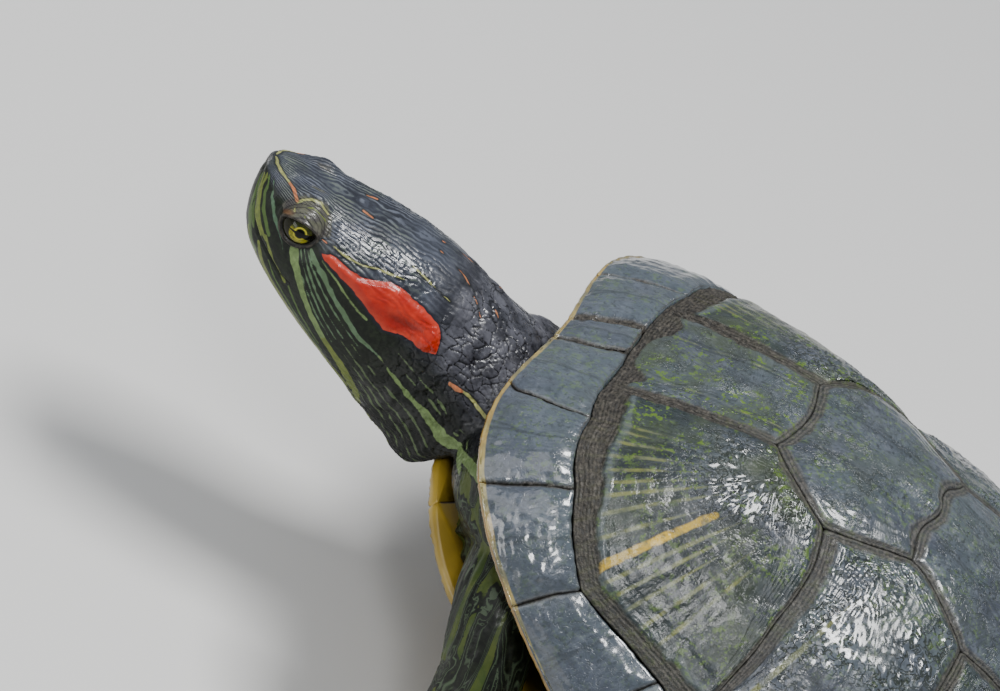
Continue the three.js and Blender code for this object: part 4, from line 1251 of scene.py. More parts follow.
BEAK_STRIPES = [
    (BEAK_GREEN, [(3.8, 72, 0.15), (5.4, 96, 0.3), (7.9, 105, 0.38), (12, 111, 0.35)], 0.05),
    (YELLOW_GREEN, [
        (3.4, 80, 0.15), (4.2, 102, 0.3), (6.2, 112, 0.42), (9.8, 117.5, 0.42), (12.5, 119, 0.25),
    ], 0.05),
    (YELLOW_GREEN, [(3.2, 100, 0.3), (4.8, 114, 0.6), (7.3, 120, 0.7), (10.8, 124, 0.55)], 0),
    (BEAK_GREEN, [(3.2, 135, 0.4), (5, 140, 0.6), (8, 141, 0.7), (13, 146, 0.6)], 0),
    (BEAK_GREEN, [(3.0, 118, 0.2), (4, 126, 0.4), (6.2, 131, 0.5), (9, 133, 0.4)], 0),
    (DULL_GREEN, [
        (4.7, 65, 0.15), (6.8, 88, 0.22), (9.8, 96, 0.2), (13.1, 102, 0.16), (15.8, 106, 0.1),
    ], 0.2),
]
# The pale stripe goes on over the left shoulder, and its twin over the right: points in the shell's frame.
SHOULDER_STRIPE = np.array([
    (88, 22.3, -17.3), (85.2, 24.9, -14.7), (83.4, 30.8, -10.4), (81.5, 35.3, -7.3), (79.5, 39, -5),
])
RED_EDGES = np.array([
    # behind the snout, upper and lower edge of the red by girth
    [22.2, 80, 82], [22.9, 75, 82.8], [24.6, 73, 83], [27.5, 72.4, 82.4], [30.5, 70, 81.8], [33, 64.5, 82],
    [36, 56, 82.8], [39, 53.6, 83.4], [42, 54.2, 84], [43.4, 54, 81.5], [45, 53.8, 77.8], [48, 54.4, 74.8],
    [50, 55, 74.6], [51.6, 57.5, 73.4], [53, 62, 71], [53.9, 68, 69],
])
MOUTH = [(3.0, 132, 0), (7, 128, 0), (12.7, 125.5, 0), (16.4, 124.5, 0), (19.5, 124, 0), (22, 119.5, 0)]
CANTHUS = [(5, 40, 0), (8, 44, 0), (10.5, 50, 0)]
NOSTRIL = (-3.1, 1.5, 1.0)


def red_field(behind, round_, wobble):
    """Distance in millimetres from the red patch's edge, negative inside it."""
    upper, lower = (np.interp(behind, RED_EDGES[:, 0], RED_EDGES[:, k]) for k in (1, 2))
    past = np.maximum(np.maximum(RED_EDGES[0, 0] - behind, behind - RED_EDGES[-1, 0]), 0)
    return np.maximum(upper - round_, round_ - lower) * girth_scale(behind) + past + wobble


def crown_phase(round_, mirrored):
    """The fine wavy lines that run back over the crown, as a phase in radians."""
    wavy = 4.2 * noise(mirrored / [6, 4, 4], 101) + 2.3 * noise(mirrored / [3, 2, 2], 104)
    return round_ * 1.35 + wavy + 1.3 * noise(mirrored / 1.1, 107)


def neck_cracks(behind, round_, mirrored):
    """How far the neck's skin is cracked into small flat fields, and how near each point lies to a crack."""
    warp = noise_vectors(mirrored / 5, 91)
    scale = girth_scale(behind)
    nape = smoothstep(round_, 104, 88)
    cracked = smoothstep(behind + 6 * noise(mirrored / 7, 95) + 5 * smoothstep(round_, 60, 90), 43, 56)
    cracked *= 0.35 + 0.65 * nape
    cracked = np.maximum(cracked, 0.8 * bump(np.hypot((behind - 20.8) * 0.8, (round_ - 69) * scale), 2.2))
    near, next_near = cells(mirrored / [2.9, 2.3, 2.3] + 0.4 * warp, 94)
    wide = smoothstep(next_near - near, 0.10, 0.0)
    near, next_near = cells(mirrored / [1.5, 1.1, 1.1] + 0.6 * warp, 96)
    narrow = smoothstep(next_near - near, 0.14, 0.0)
    return cracked, wide, narrow


# ---- Eyes: their lids close round a ball in each socket ----

EYE_SLANT = math.radians(15.6)
LONG_WAY = np.array([-math.cos(EYE_SLANT), 0, math.sin(EYE_SLANT)])
HIGH_WAY = np.array([math.sin(EYE_SLANT), 0, math.cos(EYE_SLANT)])
OPENING = {"half_length": 3.7, "above": 1.55, "below": 2.7}
LID_SCALE = 0.91  # from the lids' outside to the ball


def eye_places(points):
    """Where head points lie about their side's eye: along and above its opening, and out from the ball."""
    away = folded(points) - [-EYE["behind"], EYE["side"], EYE["height"]]
    out = np.linalg.norm(away, axis=1)
    return away @ LONG_WAY * LID_SCALE + 0.1, away @ HIGH_WAY * LID_SCALE, out, away


def opening_field(along, above):
    """1 on the lids' edge, less inside the opening."""
    reach = np.where(above > 0, OPENING["above"], OPENING["below"])
    return np.sqrt((along / OPENING["half_length"]) ** 2 + np.abs(above / reach) ** 1.7)


def eardrum(behind, round_):
    """1 in the middle of the hollow in the red patch, 0 away from it."""
    back, down = behind - 44, (round_ - 72.5) * girth_scale(behind)
    return bump(np.hypot((back + 0.45 * down) * 0.36, (down + 0.28 * back) * 0.85), 1.5)


def head_relief(behind, round_, mirrored):
    """How far mouth, nostrils, folds and wrinkles raise or sink the head's skin."""
    scale = girth_scale(behind)
    # mouth, nostrils and the ridge from nostril to eye
    mouth = stripe_field(behind, round_, MOUTH)
    rise = -0.55 * bump(mouth, 0.32) - 0.12 * bump(mouth - 0.9, 0.8)
    rise -= 0.8 * bump(np.linalg.norm(mirrored - NOSTRIL, axis=1), 0.55)
    rise += 0.25 * bump(stripe_field(behind, round_, CANTHUS), 1.1)
    rise -= 0.35 * bump(np.hypot(behind - 9.2, (round_ - 80) * scale), 2.2)
    # the red patch is puffy, with a hollow over the eardrum
    red = red_field(behind, round_, 0.0)
    rise += 0.45 * smoothstep(-red, -0.3, 1.8) - 0.8 * eardrum(behind, round_)
    rise += 0.3 * bump(np.hypot((behind - 42) * 0.4, (round_ - 62) * scale), 2.2)
    # folds across the neck, and pleats along it
    neck = smoothstep(behind, 44, 54)
    cracked, wide, narrow = neck_cracks(behind, round_, mirrored)
    rise -= cracked * (0.24 * wide + 0.13 * narrow)
    across = behind + 0.07 * (round_ - 60) + 2.2 * noise(mirrored / [7, 9, 9], 97)
    rise += 0.20 * neck * np.sin(across * 0.9) * smoothstep(np.abs(noise(mirrored / 11, 98)), 0.02, 0.35)
    pleat = round_ * scale + 0.28 * behind + 1.2 * noise(mirrored / 6, 99)
    pleated = neck * smoothstep(round_, 84, 100) * smoothstep(noise(mirrored / 4, 100), -0.35, 0.2)
    rise += 0.12 * pleated * np.sin(pleat * 4.2)
    crease = np.abs(noise(mirrored / [2.2, 1.4, 1.4] + 0.5 * noise(mirrored / 4, 105)[:, None], 106))
    creased = smoothstep(behind, 36, 46) * smoothstep(round_, 78, 88)
    rise -= 0.18 * creased * smoothstep(crease, 0.12, 0)
    # fine ridges along the crown, and curled wrinkles behind the eyes
    top = smoothstep(round_, 84, 68) * smoothstep(red, -0.4, 0.4)
    rise += 0.045 * smoothstep(behind, 50, 24) * top * np.sin(crown_phase(round_, mirrored))
    curl = np.abs(noise(mirrored / [2.6, 1.5, 1.5] + 0.7 * noise(mirrored / 3, 108)[:, None], 109))
    curled = smoothstep(behind, 17, 23) * smoothstep(behind, 50, 40) * smoothstep(round_, 8, 25) * top
    rise += 0.13 * curled * smoothstep(curl, 0.20, 0.02)
    return rise + 0.035 * noise(mirrored / 0.8, 102) + 0.10 * layered(mirrored / 6, 2, 103)


def lid_distance(along, above, mirrored):
    """How far the lids, the brow over them and the skin in their opening lie from the ball's middle."""
    lid, round_eye = opening_field(along, above), np.hypot(along, above - 0.4)
    brow = smoothstep(above, -0.4, 1.2)
    target = 5.5 + 0.26 * bump(lid - 1.17, 0.12) - 0.14 * bump(lid - 1.48, 0.08) * (1 - brow)
    target += brow * (0.45 * bump(round_eye - 3.6, 1.6) - 0.2 * bump(round_eye - 6.2, 0.5))
    target -= 0.09 * brow * (1 - np.abs(np.sin(round_eye * 3.3 + 0.9 * noise(mirrored / 1.8, 141))) ** 0.6)
    target -= (target - 4.1) * smoothstep(lid, 1.06, 0.95)
    return target, lid, brow


def shape_head(points, normals):
    """The head's points with their relief, and drawn in or out to lids round each ball."""
    mirrored = folded(points)
    rise = head_relief(-points[:, 0], girth(points), mirrored)
    along, above, _, away = eye_places(points)
    from_middle = np.hypot(away @ LONG_WAY, away @ HIGH_WAY)
    quiet = np.where(away[:, 1] > 0, smoothstep(from_middle, 4.5, 7.5), 1)
    moved = points + normals * (rise * quiet)[:, None]
    facing = (away[:, 1] > 0) & (from_middle < 9)
    target, lid, brow = lid_distance(along, above, mirrored)
    near_eye = np.maximum(smoothstep(from_middle, 7.0 + brow, 4.2), smoothstep(lid, 1.35, 1.1))
    _, _, out, away = eye_places(moved)
    wanted = out + (target - out) * near_eye * facing
    change = (wanted / np.maximum(out, 1e-6) - 1)[:, None] * away
    change[:, 1] *= np.sign(points[:, 1])
    return moved + change


# ---- Limbs: each point knows how far along its limb it lies ----


def along_path(values, lengths, reached):
    return np.stack([np.interp(reached, lengths, values[:, i]) for i in range(3)], axis=-1)


def limb_places(points):
    """Level points by their nearest limb: the offset across it plus the way along it, and the distance."""
    paths = [smooth_path(stops, 1.5)[:, :3] for stops in (*(leg["path"] for leg in LEGS.values()), TAIL)]
    nearest = np.full(len(points), 1e9)
    drawn = np.zeros_like(points)
    for k, path in enumerate(paths):
        tangents, lengths = unit(np.gradient(path, axis=0)), lengths_along(path)
        close = np.flatnonzero(np.linalg.norm(points - path.mean(axis=0), axis=1) < 60)
        gaps = np.linalg.norm(points[close, None] - path[None], axis=2)
        best = gaps.argmin(axis=1)
        better = gaps[np.arange(len(close)), best] < nearest[close]
        ids, best = close[better], best[better]
        nearest[ids] = gaps[better].min(axis=1)
        reached, slip = lengths[best], 0
        for _ in range(4):
            reached = np.clip(reached + slip, 0, lengths[-1])
            ahead = along_path(tangents, lengths, reached)
            offset = points[ids] - along_path(path, lengths, reached)
            slip = np.einsum("ij,ij->i", offset, ahead)
        drawn[ids] = offset - ahead * slip[:, None]
        drawn[ids] += np.stack([0 * slip, 0 * slip + k * 40, (reached + slip) * 0.42], axis=-1)
    return drawn, nearest


def shape_limbs(points, normals, drawn):
    """Small scales, and folds across the limbs."""
    near, next_near = cells(drawn / [2.6, 2.6, 1.5], 111)
    rise = 0.22 * (smoothstep(next_near - near, 0.02, 0.35) - 0.7)
    fold = np.sin(points[:, 2] * 0.9 + 2.2 * noise(points / 9, 112))
    rise += 0.18 * fold * smoothstep(noise(points / 12, 113), -0.2, 0.4)
    rise += 0.12 * layered(points / 5, 2, 114)
    sole = smoothstep(points[:, 2], FLOOR + 0.4, FLOOR + 3)
    return points + normals * (rise * sole)[:, None]


def marble(drawn):
    """A smooth field whose level lines bound the limbs' pale patches."""
    bent = drawn / 4 + 0.5 * noise_vectors(drawn / 4, 121)
    return noise(bent, 125) + 0.45 * noise(bent * 2.1, 126)


HEAD_REACH = (27, 32)  # from the neck's middle line: where its markings give way to the limbs', and end
HEAD_END = 92  # behind the snout, the last of the head's own markings
LIMB_REACH = 40  # from a limb's axis
SKIN_VOXEL = 0.62
FINE = {"behind": 74, "round_eye": 8.5, "eye_behind": 40}  # where the skin's mesh is halved, and halved again
NO_TRIANGLES = np.zeros((0, 3), int)


def off_axis(place):
    """How far head points lie from the middle line of head and neck."""
    return np.hypot(place[:, 1], place[:, 2] + 6)


def build_skin(material):
    """One skin over every soft part, finest round the eyes."""
    parts = [loft(to_level(rings)) for rings in (head_to_shell(head_rings()), trunk_rings())]
    for leg in LEGS.values():
        parts += leg_parts(leg)
    parts += [loft(tube(TAIL, 32)), loft(to_level(tube(SHOULDER_SKIN)))]
    points, quads = remeshed(*merged(parts), SKIN_VOXEL)
    points = smoothed(points, quads, NO_TRIANGLES, 6)

    def head_points(level):
        return shell_to_head(from_level(level))

    def is_head(level, last):
        place = head_points(level)
        return (-place[:, 0] < last) & (off_axis(place) < HEAD_REACH[1])

    points, quads, triangles = halve(points, quads, is_head(points, FINE["behind"])[quads].all(axis=1))
    points = smoothed(points, quads, triangles, 4)
    _, _, out, _ = eye_places(head_points(points))
    finer = ((out < FINE["round_eye"]) & is_head(points, FINE["eye_behind"]))[quads].all(axis=1)
    points, quads, more = halve(points, quads, finer)
    triangles = np.concatenate([triangles, more])
    points[:, 2] = np.maximum(points[:, 2], FLOOR)

    head = is_head(points, HEAD_END)
    normals = normals_of(points, quads, triangles)
    place = head_points(points)
    behind = -place[:, 0]
    place = levelled(place, behind)
    reach = smoothstep(off_axis(place), *HEAD_REACH)
    limb_share = np.where(head, np.maximum(reach, smoothstep(behind, HEAD_END - 12, HEAD_END - 2)), 1)
    head_normals = levelled(from_level(normals) @ HEAD_AXES, behind)
    moved = levelled(shape_head(place[head], head_normals[head]), behind[head], -1)
    shaped = points.copy()
    shaped[head] += (to_level(head_to_shell(moved)) - points[head]) * (1 - limb_share[head, None])
    drawn, far = limb_places(points)
    limbs = (limb_share > 0) & (far < LIMB_REACH)
    limb_shift = shape_limbs(points[limbs], normals[limbs], drawn[limbs]) - points[limbs]
    shaped[limbs] += limb_shift * limb_share[limbs, None]
    fields, colours = mark_skin(place, head, drawn, points)
    fields["limb"] = limb_share
    skin = new_mesh("skin", (shaped + SHELL_ORIGIN) * MM, quads, triangles, fields, colours)
    dress(skin, material, "skin", "trunk", "head", "neck", "tail", *LEGS)
    return skin


def mark_skin(place, head, drawn, points):
    """The markings as fields: distances to the edges of stripes and patches, in millimetres."""
    behind, round_ = -place[:, 0], girth(place)
    mirrored = folded(place)
    wobble = 0.16 * noise(mirrored / 1.6, 131) + 0.05 * noise(mirrored / 0.6, 132)
    stripe = np.full(len(place), 9.0)
    cracked, wide, narrow = (np.zeros(len(place)) for _ in range(3))
    cracked[head], wide[head], narrow[head] = neck_cracks(behind[head], round_[head], mirrored[head])
    colour = np.tile(np.array(YELLOW_GREEN), (len(place), 1))
    broken = noise(mirrored / [4, 2.5, 2.5], 133)
    ids = np.flatnonzero(head & (behind < HEAD_END - 2))
    for tone, stops, gaps in STRIPES + BEAK_STRIPES:
        field = stripe_field(behind[ids], round_[ids], stops) + wobble[ids]
        field += gaps * np.maximum(broken[ids] + 0.15, 0) * 1.6
        closer = field < stripe[ids]
        stripe[ids[closer]] = field[closer]
        colour[ids[closer]] = tone
    sides = folded(from_level(points))
    shoulder = np.flatnonzero((sides[:, 0] > 76) & (behind > 66) & (sides[:, 1] > 15))
    runs = zip(SHOULDER_STRIPE[:-1], SHOULDER_STRIPE[1:])
    path = np.concatenate([a + (b - a) * np.linspace(0, 1, 8)[:, None] for a, b in runs])
    off = np.linalg.norm(sides[shoulder, None] - path[None], axis=2).min(axis=1)
    stripe[shoulder] = np.minimum(stripe[shoulder], off - 1.15 + wobble[shoulder])
    colour[shoulder[off < 2.5]] = PALE_GREEN
    along, above, out, away = eye_places(place)
    fields = {
        "behind": np.where(head, behind, 200),
        "round": round_,
        "stripe": stripe,
        "red": np.where(head, red_field(behind, round_, wobble * 1.3), 9),
        "lid": np.where(head & (away[:, 1] > 0), opening_field(along, above) + 3 * (out > 12), 9),
        "lid_along": along,
        "lid_round": np.hypot(along, above - 0.4) + 0.28 * noise(mirrored / 1.8, 141) + 9 * (away[:, 1] < -4),
        "lid_above": above,
        "mouth": np.where(head, stripe_field(behind, round_, MOUTH), 9),
        "marble": marble(drawn),
        "crack": cracked * np.maximum(wide, 0.5 * narrow),
        "wave": np.where(head, crown_phase(round_, mirrored), 0),
        "hollow": np.where(head, eardrum(behind, round_), 0),
    }
    return fields, {"stripe_colour": colour}


# ---- Eyes and claws ----


def build_eye(side, material):
    """A ball whose north pole is the middle of the pupil."""
    axis = unit(np.array([0.06, 0.985, 0.02]))
    long_way = unit(LONG_WAY - axis * (LONG_WAY @ axis))
    high_way = np.cross(axis, long_way)
    high_way *= np.sign(high_way[2])
    polar = np.concatenate([np.linspace(0.004, 1.2, 90), np.linspace(1.25, np.pi - 0.05, 30)])
    turn = np.linspace(0, 2 * np.pi, 96, endpoint=False)
    p, t = np.meshgrid(polar, turn, indexing="ij")
    bulge = EYE["radius"] - 0.02 + 0.22 * bump(p / 0.42, 1)
    along, high = np.sin(p) * np.cos(t), np.sin(p) * np.sin(t)
    ball = along[..., None] * long_way + high[..., None] * high_way + np.cos(p)[..., None] * axis
    ball = bulge[..., None] * ball + [-EYE["behind"], EYE["side"], EYE["height"]]
    points, quads, caps = loft(ball * [1, side, 1])
    fields = {}
    for key, values, back in (("eye_along", along, 0), ("eye_high", high, 0), ("eye_out", p, 3)):
        fields[key] = EYE["radius"] * np.append(values, (0, back))
    eye = new_mesh(f"eyeball_{side_name(side)}", to_row(head_to_shell(points)), quads, caps, fields)
    dress(eye, material, "eye", f"eye_{side_name(side)}")


def build_claws(name, leg, material):
    parts = []
    for start, along, length in toe_lines(leg):
        stops = []
        for t in np.linspace(0, 1, 9):
            distance = length - 1.2 + (CLAW_LENGTH + 1.2) * t
            height = 2.7 + 0.55 * math.sin(t * 2.2) - 2.5 * t**2.2
            width = 1.25 * (1 - t) ** 0.75 + 0.14
            x, y, z = start + along * distance
            stops.append((x, y, z + max(height, width * 1.05), width, width * 1.05))
        parts.append(loft(tube(stops, 18, 0.35)))
    points, quads, caps = merged(parts)
    claws = new_mesh(f"claws_{name}", (points + SHELL_ORIGIN) * MM, quads, caps)
    dress(claws, material, "claw", name)


# ---- Materials ----


class Wire:
    """A value on its way between two nodes; arithmetic on it makes Math nodes."""

    def __init__(self, look, socket):
        self.look = look
        self.socket = socket

    def math(self, operation, *others):
        return self.look.node("Math", dict(enumerate((self, *others))), operation=operation)

    def __add__(self, other):
        return self.math("ADD", other)

    def __sub__(self, other):
        return self.math("SUBTRACT", other)

    def __mul__(self, other):
        return self.math("MULTIPLY", other)

    def __abs__(self):
        return self.math("ABSOLUTE")

    def __rsub__(self, other):
        return self.look.node("Math", {0: other, 1: self}, operation="SUBTRACT")

    def step(self, low, high, to_low=0.0, to_high=1.0):
        """A smooth step from to_low at low to to_high at high."""
        limits = {"From Min": low, "From Max": high, "To Min": to_low, "To Max": to_high}
        return self.look.node("MapRange", {"Value": self, **limits}, interpolation_type="SMOOTHSTEP")


class Shader:
    """A few short words for building one material's nodes."""

    def __init__(self, name):
        self.material = bpy.data.materials.new(name)
        self.material.use_nodes = True
        self.tree = self.material.node_tree
        self.surface = self.tree.nodes["Principled BSDF"]

    def node(self, kind, inputs, output=0, **settings):
        made = self.tree.nodes.new("ShaderNode" + kind)
        for key, value in settings.items():
            setattr(made, key, value)
        for key, value in inputs.items():
            self.feed(made.inputs[key], value)
        return Wire(self, made.outputs[output])

    def feed(self, socket, value):
        if isinstance(value, Wire):
            self.tree.links.new(value.socket, socket)
        elif isinstance(value, tuple):
            socket.default_value = (*value, 1.0)
        else:
            socket.default_value = value

    def set(self, **values):
        for key, value in values.items():
            self.feed(self.surface.inputs[key.replace("_", " ")], value)

    def field(self, name, output="Fac"):
        return self.node("Attribute", {}, output, attribute_name=name)

    def noise(self, scale, detail=3.0, rough=0.55, place=None, distortion=0.0):
        inputs = {"Scale": scale, "Detail": detail, "Roughness": rough, "Distortion": distortion}
        inputs["Vector"] = place or self.node("TexCoord", {}, "Object")
        return self.node("TexNoise", inputs, "Fac")

    def mix(self, amount, a, b):
        return self.node("Mix", {0: amount, 6: a, 7: b}, 2, data_type="RGBA")

    def mix_value(self, amount, a, b):
        return self.node("Mix", {"Factor": amount, "A": a, "B": b})

    def layers(self, colour, *coats):
        """A colour under coats of others, each with how far it covers."""
        for amount, tone in coats:
            colour = self.mix(amount, colour, tone)
        return colour

    def bump(self, height, distance, strength):
        return self.node("Bump", {"Height": height, "Distance": distance, "Strength": strength}, "Normal")


def carapace_material():
    look = Shader("carapace")
    fields = ("seam", "band", "rim", "under", "moss", "crumple", "grit", "gloss", "lines")
    seam, band, rim, under, moss, crumple, grit, gloss, lines = map(look.field, fields)
    grain = look.field("grain", "Vector")
    broad, patchy = look.noise(55, 4), look.noise(280, 4, 0.6)
    streak, scratch = look.noise(1.2, 3, 0.6, grain), look.noise(2.6, 2, 0.5, grain)
    fine, chips = look.noise(2300, 3, 0.6), look.noise(900, 3, 0.6)
    worm = abs(look.noise(520, 2, 0.5, distortion=0.7) - 0.5).step(0.01, 0.075)
    in_band = band.step(0.6, -0.5)
    calm = gloss.step(0.75, 1.0, 1.0, 0.35)
    rough_horn = crumple.step(0.0, 0.5, 0.35, 1.0) * calm

    # horn: slate with streaks and a painted sheen, olive where algae grows, and darker in the pits as painted
    # shade tinted by algae
    olive = moss * look.noise(75, 3).step(0.40, 0.64, 0.05, 0.6)
    pit_shade_and_algae = crumple * (1.0 - worm)
    clump = look.noise(110, 3).step(0.39, 0.55)
    dots = look.noise(560, 3, 0.6).step(0.56, 0.62).math("MAXIMUM", look.noise(1100, 3).step(0.58, 0.66))
    slate = look.layers(
        look.mix(broad.step(0.38, 0.62), (0.030, 0.034, 0.047), (0.042, 0.056, 0.062)),
        (patchy.step(0.42, 0.64, 0, 0.6), (0.080, 0.092, 0.112)),
        (chips.step(0.46, 0.36, 0, 0.8), (0.008, 0.010, 0.012)),
        (streak.step(0.56, 0.34, 0, 0.6), (0.014, 0.017, 0.020)),
        # painted sheen: lighter and bluer where the horn is glossy, a painted reflection of the sky; darker
        # where it is dull, without that reflection
        (gloss.step(0.35, 1.0, 0, 0.30), (0.090, 0.108, 0.135)),
        (gloss.step(0.35, 0.10, 0, 0.55), (0.008, 0.012, 0.010)),
        (olive, (0.042, 0.054, 0.024)),
        # painted shade in the pits of the crumpled horn, tinted green by the algae in them
        (pit_shade_and_algae * 0.85, (0.012, 0.016, 0.008)),
        (dots * clump * moss, (0.070, 0.120, 0.012)),
        (scratch.step(0.66, 0.74, 0, 0.4), (0.15, 0.17, 0.18)),
    )

    # newest growth along the seams, its fine ridges painted lighter on the crests and darker between them as
    # light and shade
    crumb = look.noise(1000, 4, 0.65).step(0.40, 0.64)
    ridge = (seam * 7.0 + look.noise(190, 3) * 9.0).math("SINE")
    brown = look.layers(
        look.mix(crumb, (0.009, 0.008, 0.006), (0.068, 0.060, 0.048)),
        (patchy.step(0.45, 0.7, 0, 0.6), (0.032, 0.034, 0.019)),
        # painted light and shade: the band's ridges lighter on their crests, darker in the troughs between
        # them
        (ridge.step(0.2, 0.9, 0, 0.5), (0.064, 0.056, 0.046)),
        (ridge.step(-0.3, -0.9, 0, 0.65), (0.009, 0.008, 0.006)),
        (grit * 0.45, look.mix(crumb, (0.004, 0.003, 0.002), (0.040, 0.034, 0.026))),
    )

    # a painted highlight along the old plate's lip, pale lines with a dark edge, the bold bar and the seam
    # itself
    worn = look.noise(240, 3).step(0.36, 0.56, 0.15, 0.8) * band.step(0.2, 2.0, 0.12, 1.0)
    line_tone = look.mix(look.noise(160, 2).step(0.4, 0.6), (0.125, 0.130, 0.036), (0.120, 0.130, 0.070))
    bold = look.field("bold").step(0.3, -0.2) * band.step(-0.6, 0.6)
    bold_worn = look.noise(520, 3).step(0.36, 0.52, 0.3, 0.92)
    bold_tone = look.mix(look.noise(260, 3).step(0.4, 0.6), (0.42, 0.27, 0.018), (0.29, 0.20, 0.025))
    colour = look.layers(
        look.mix(in_band * (grit * 0.22 + 0.78), slate, brown),
        # painted highlight: a pale bluish glint along the raised lip of the old plate
        (abs(band - 1.3).step(1.1, 0.2) * look.field("lip") * 0.35, (0.11, 0.13, 0.14)),
        (abs(lines - 0.95).step(0.5, 0.1, 0, 0.4) * (1.0 - in_band), (0.014, 0.017, 0.016)),
        (lines.step(0.42, -0.05) * worn, line_tone),
        (bold * bold_worn, bold_tone),
        (seam.step(0.3, 0.02) * look.noise(330, 3).step(0.35, 0.6, 0.25, 0.8), (0.012, 0.010, 0.007)),
    )

    # the sharp rim, orange towards the front, and the underside
    dull = look.mix(look.noise(210, 3).step(0.38, 0.62), (0.24, 0.21, 0.085), (0.10, 0.105, 0.060))
    dull = look.mix(grit * look.noise(90, 2).step(0.4, 0.6, 0.1, 0.6), dull, (0.30, 0.19, 0.045))
    ochre = look.mix(look.noise(150, 3).step(0.4, 0.65), (0.24, 0.14, 0.025), (0.10, 0.062, 0.015))
    wide_rim = grit * look.noise(70, 2).step(0.35, 0.65, 0.3, 1.0) * 0.8
    colour = look.layers(colour, ((rim - wide_rim).step(0.32, -0.05), dull), (under.step(0.3, 0.7), ochre))

    smooth = patchy.step(0.3, 0.7, 0.18, 0.34) * gloss.step(0.75, 1.0, 1.0, 0.8)
    look.set(Base_Color=colour, Roughness=look.mix_value(in_band, smooth, 0.6))
    look.set(Coat_Weight=gloss * (0.8 - in_band * 0.7), Coat_Roughness=0.10, Specular_IOR_Level=0.36)
    height = (
        worm * crumple * 0.28
        + streak * rough_horn * 0.22
        + patchy * calm * 0.40
        + chips * rough_horn * 0.16
        + fine * rough_horn * 0.06
        + crumb * in_band * 0.16
    )
    look.set(Normal=look.bump(height, 0.001, 0.9))
    return look.material


def plastron_material():
    look = Shader("plastron")
    ochre = look.mix(look.noise(60, 4).step(0.35, 0.7), (0.33, 0.22, 0.020), (0.22, 0.145, 0.015))
    colour = look.layers(
        ochre,
        (look.field("blotch").step(1.2, -0.6) * look.field("outside") * 0.9, (0.030, 0.020, 0.010)),
        (look.field("seam").step(0.7, 0.1), (0.040, 0.020, 0.008)),
    )
    look.set(Base_Color=colour, Roughness=0.36, Coat_Weight=0.15, Coat_Roughness=0.12)
    look.set(Normal=look.bump(look.noise(900, 3), 0.00006, 0.5))
    return look.material


def plain(name, colour, roughness):
    look = Shader(name)
    look.set(Base_Color=colour, Roughness=roughness)
    return look.material


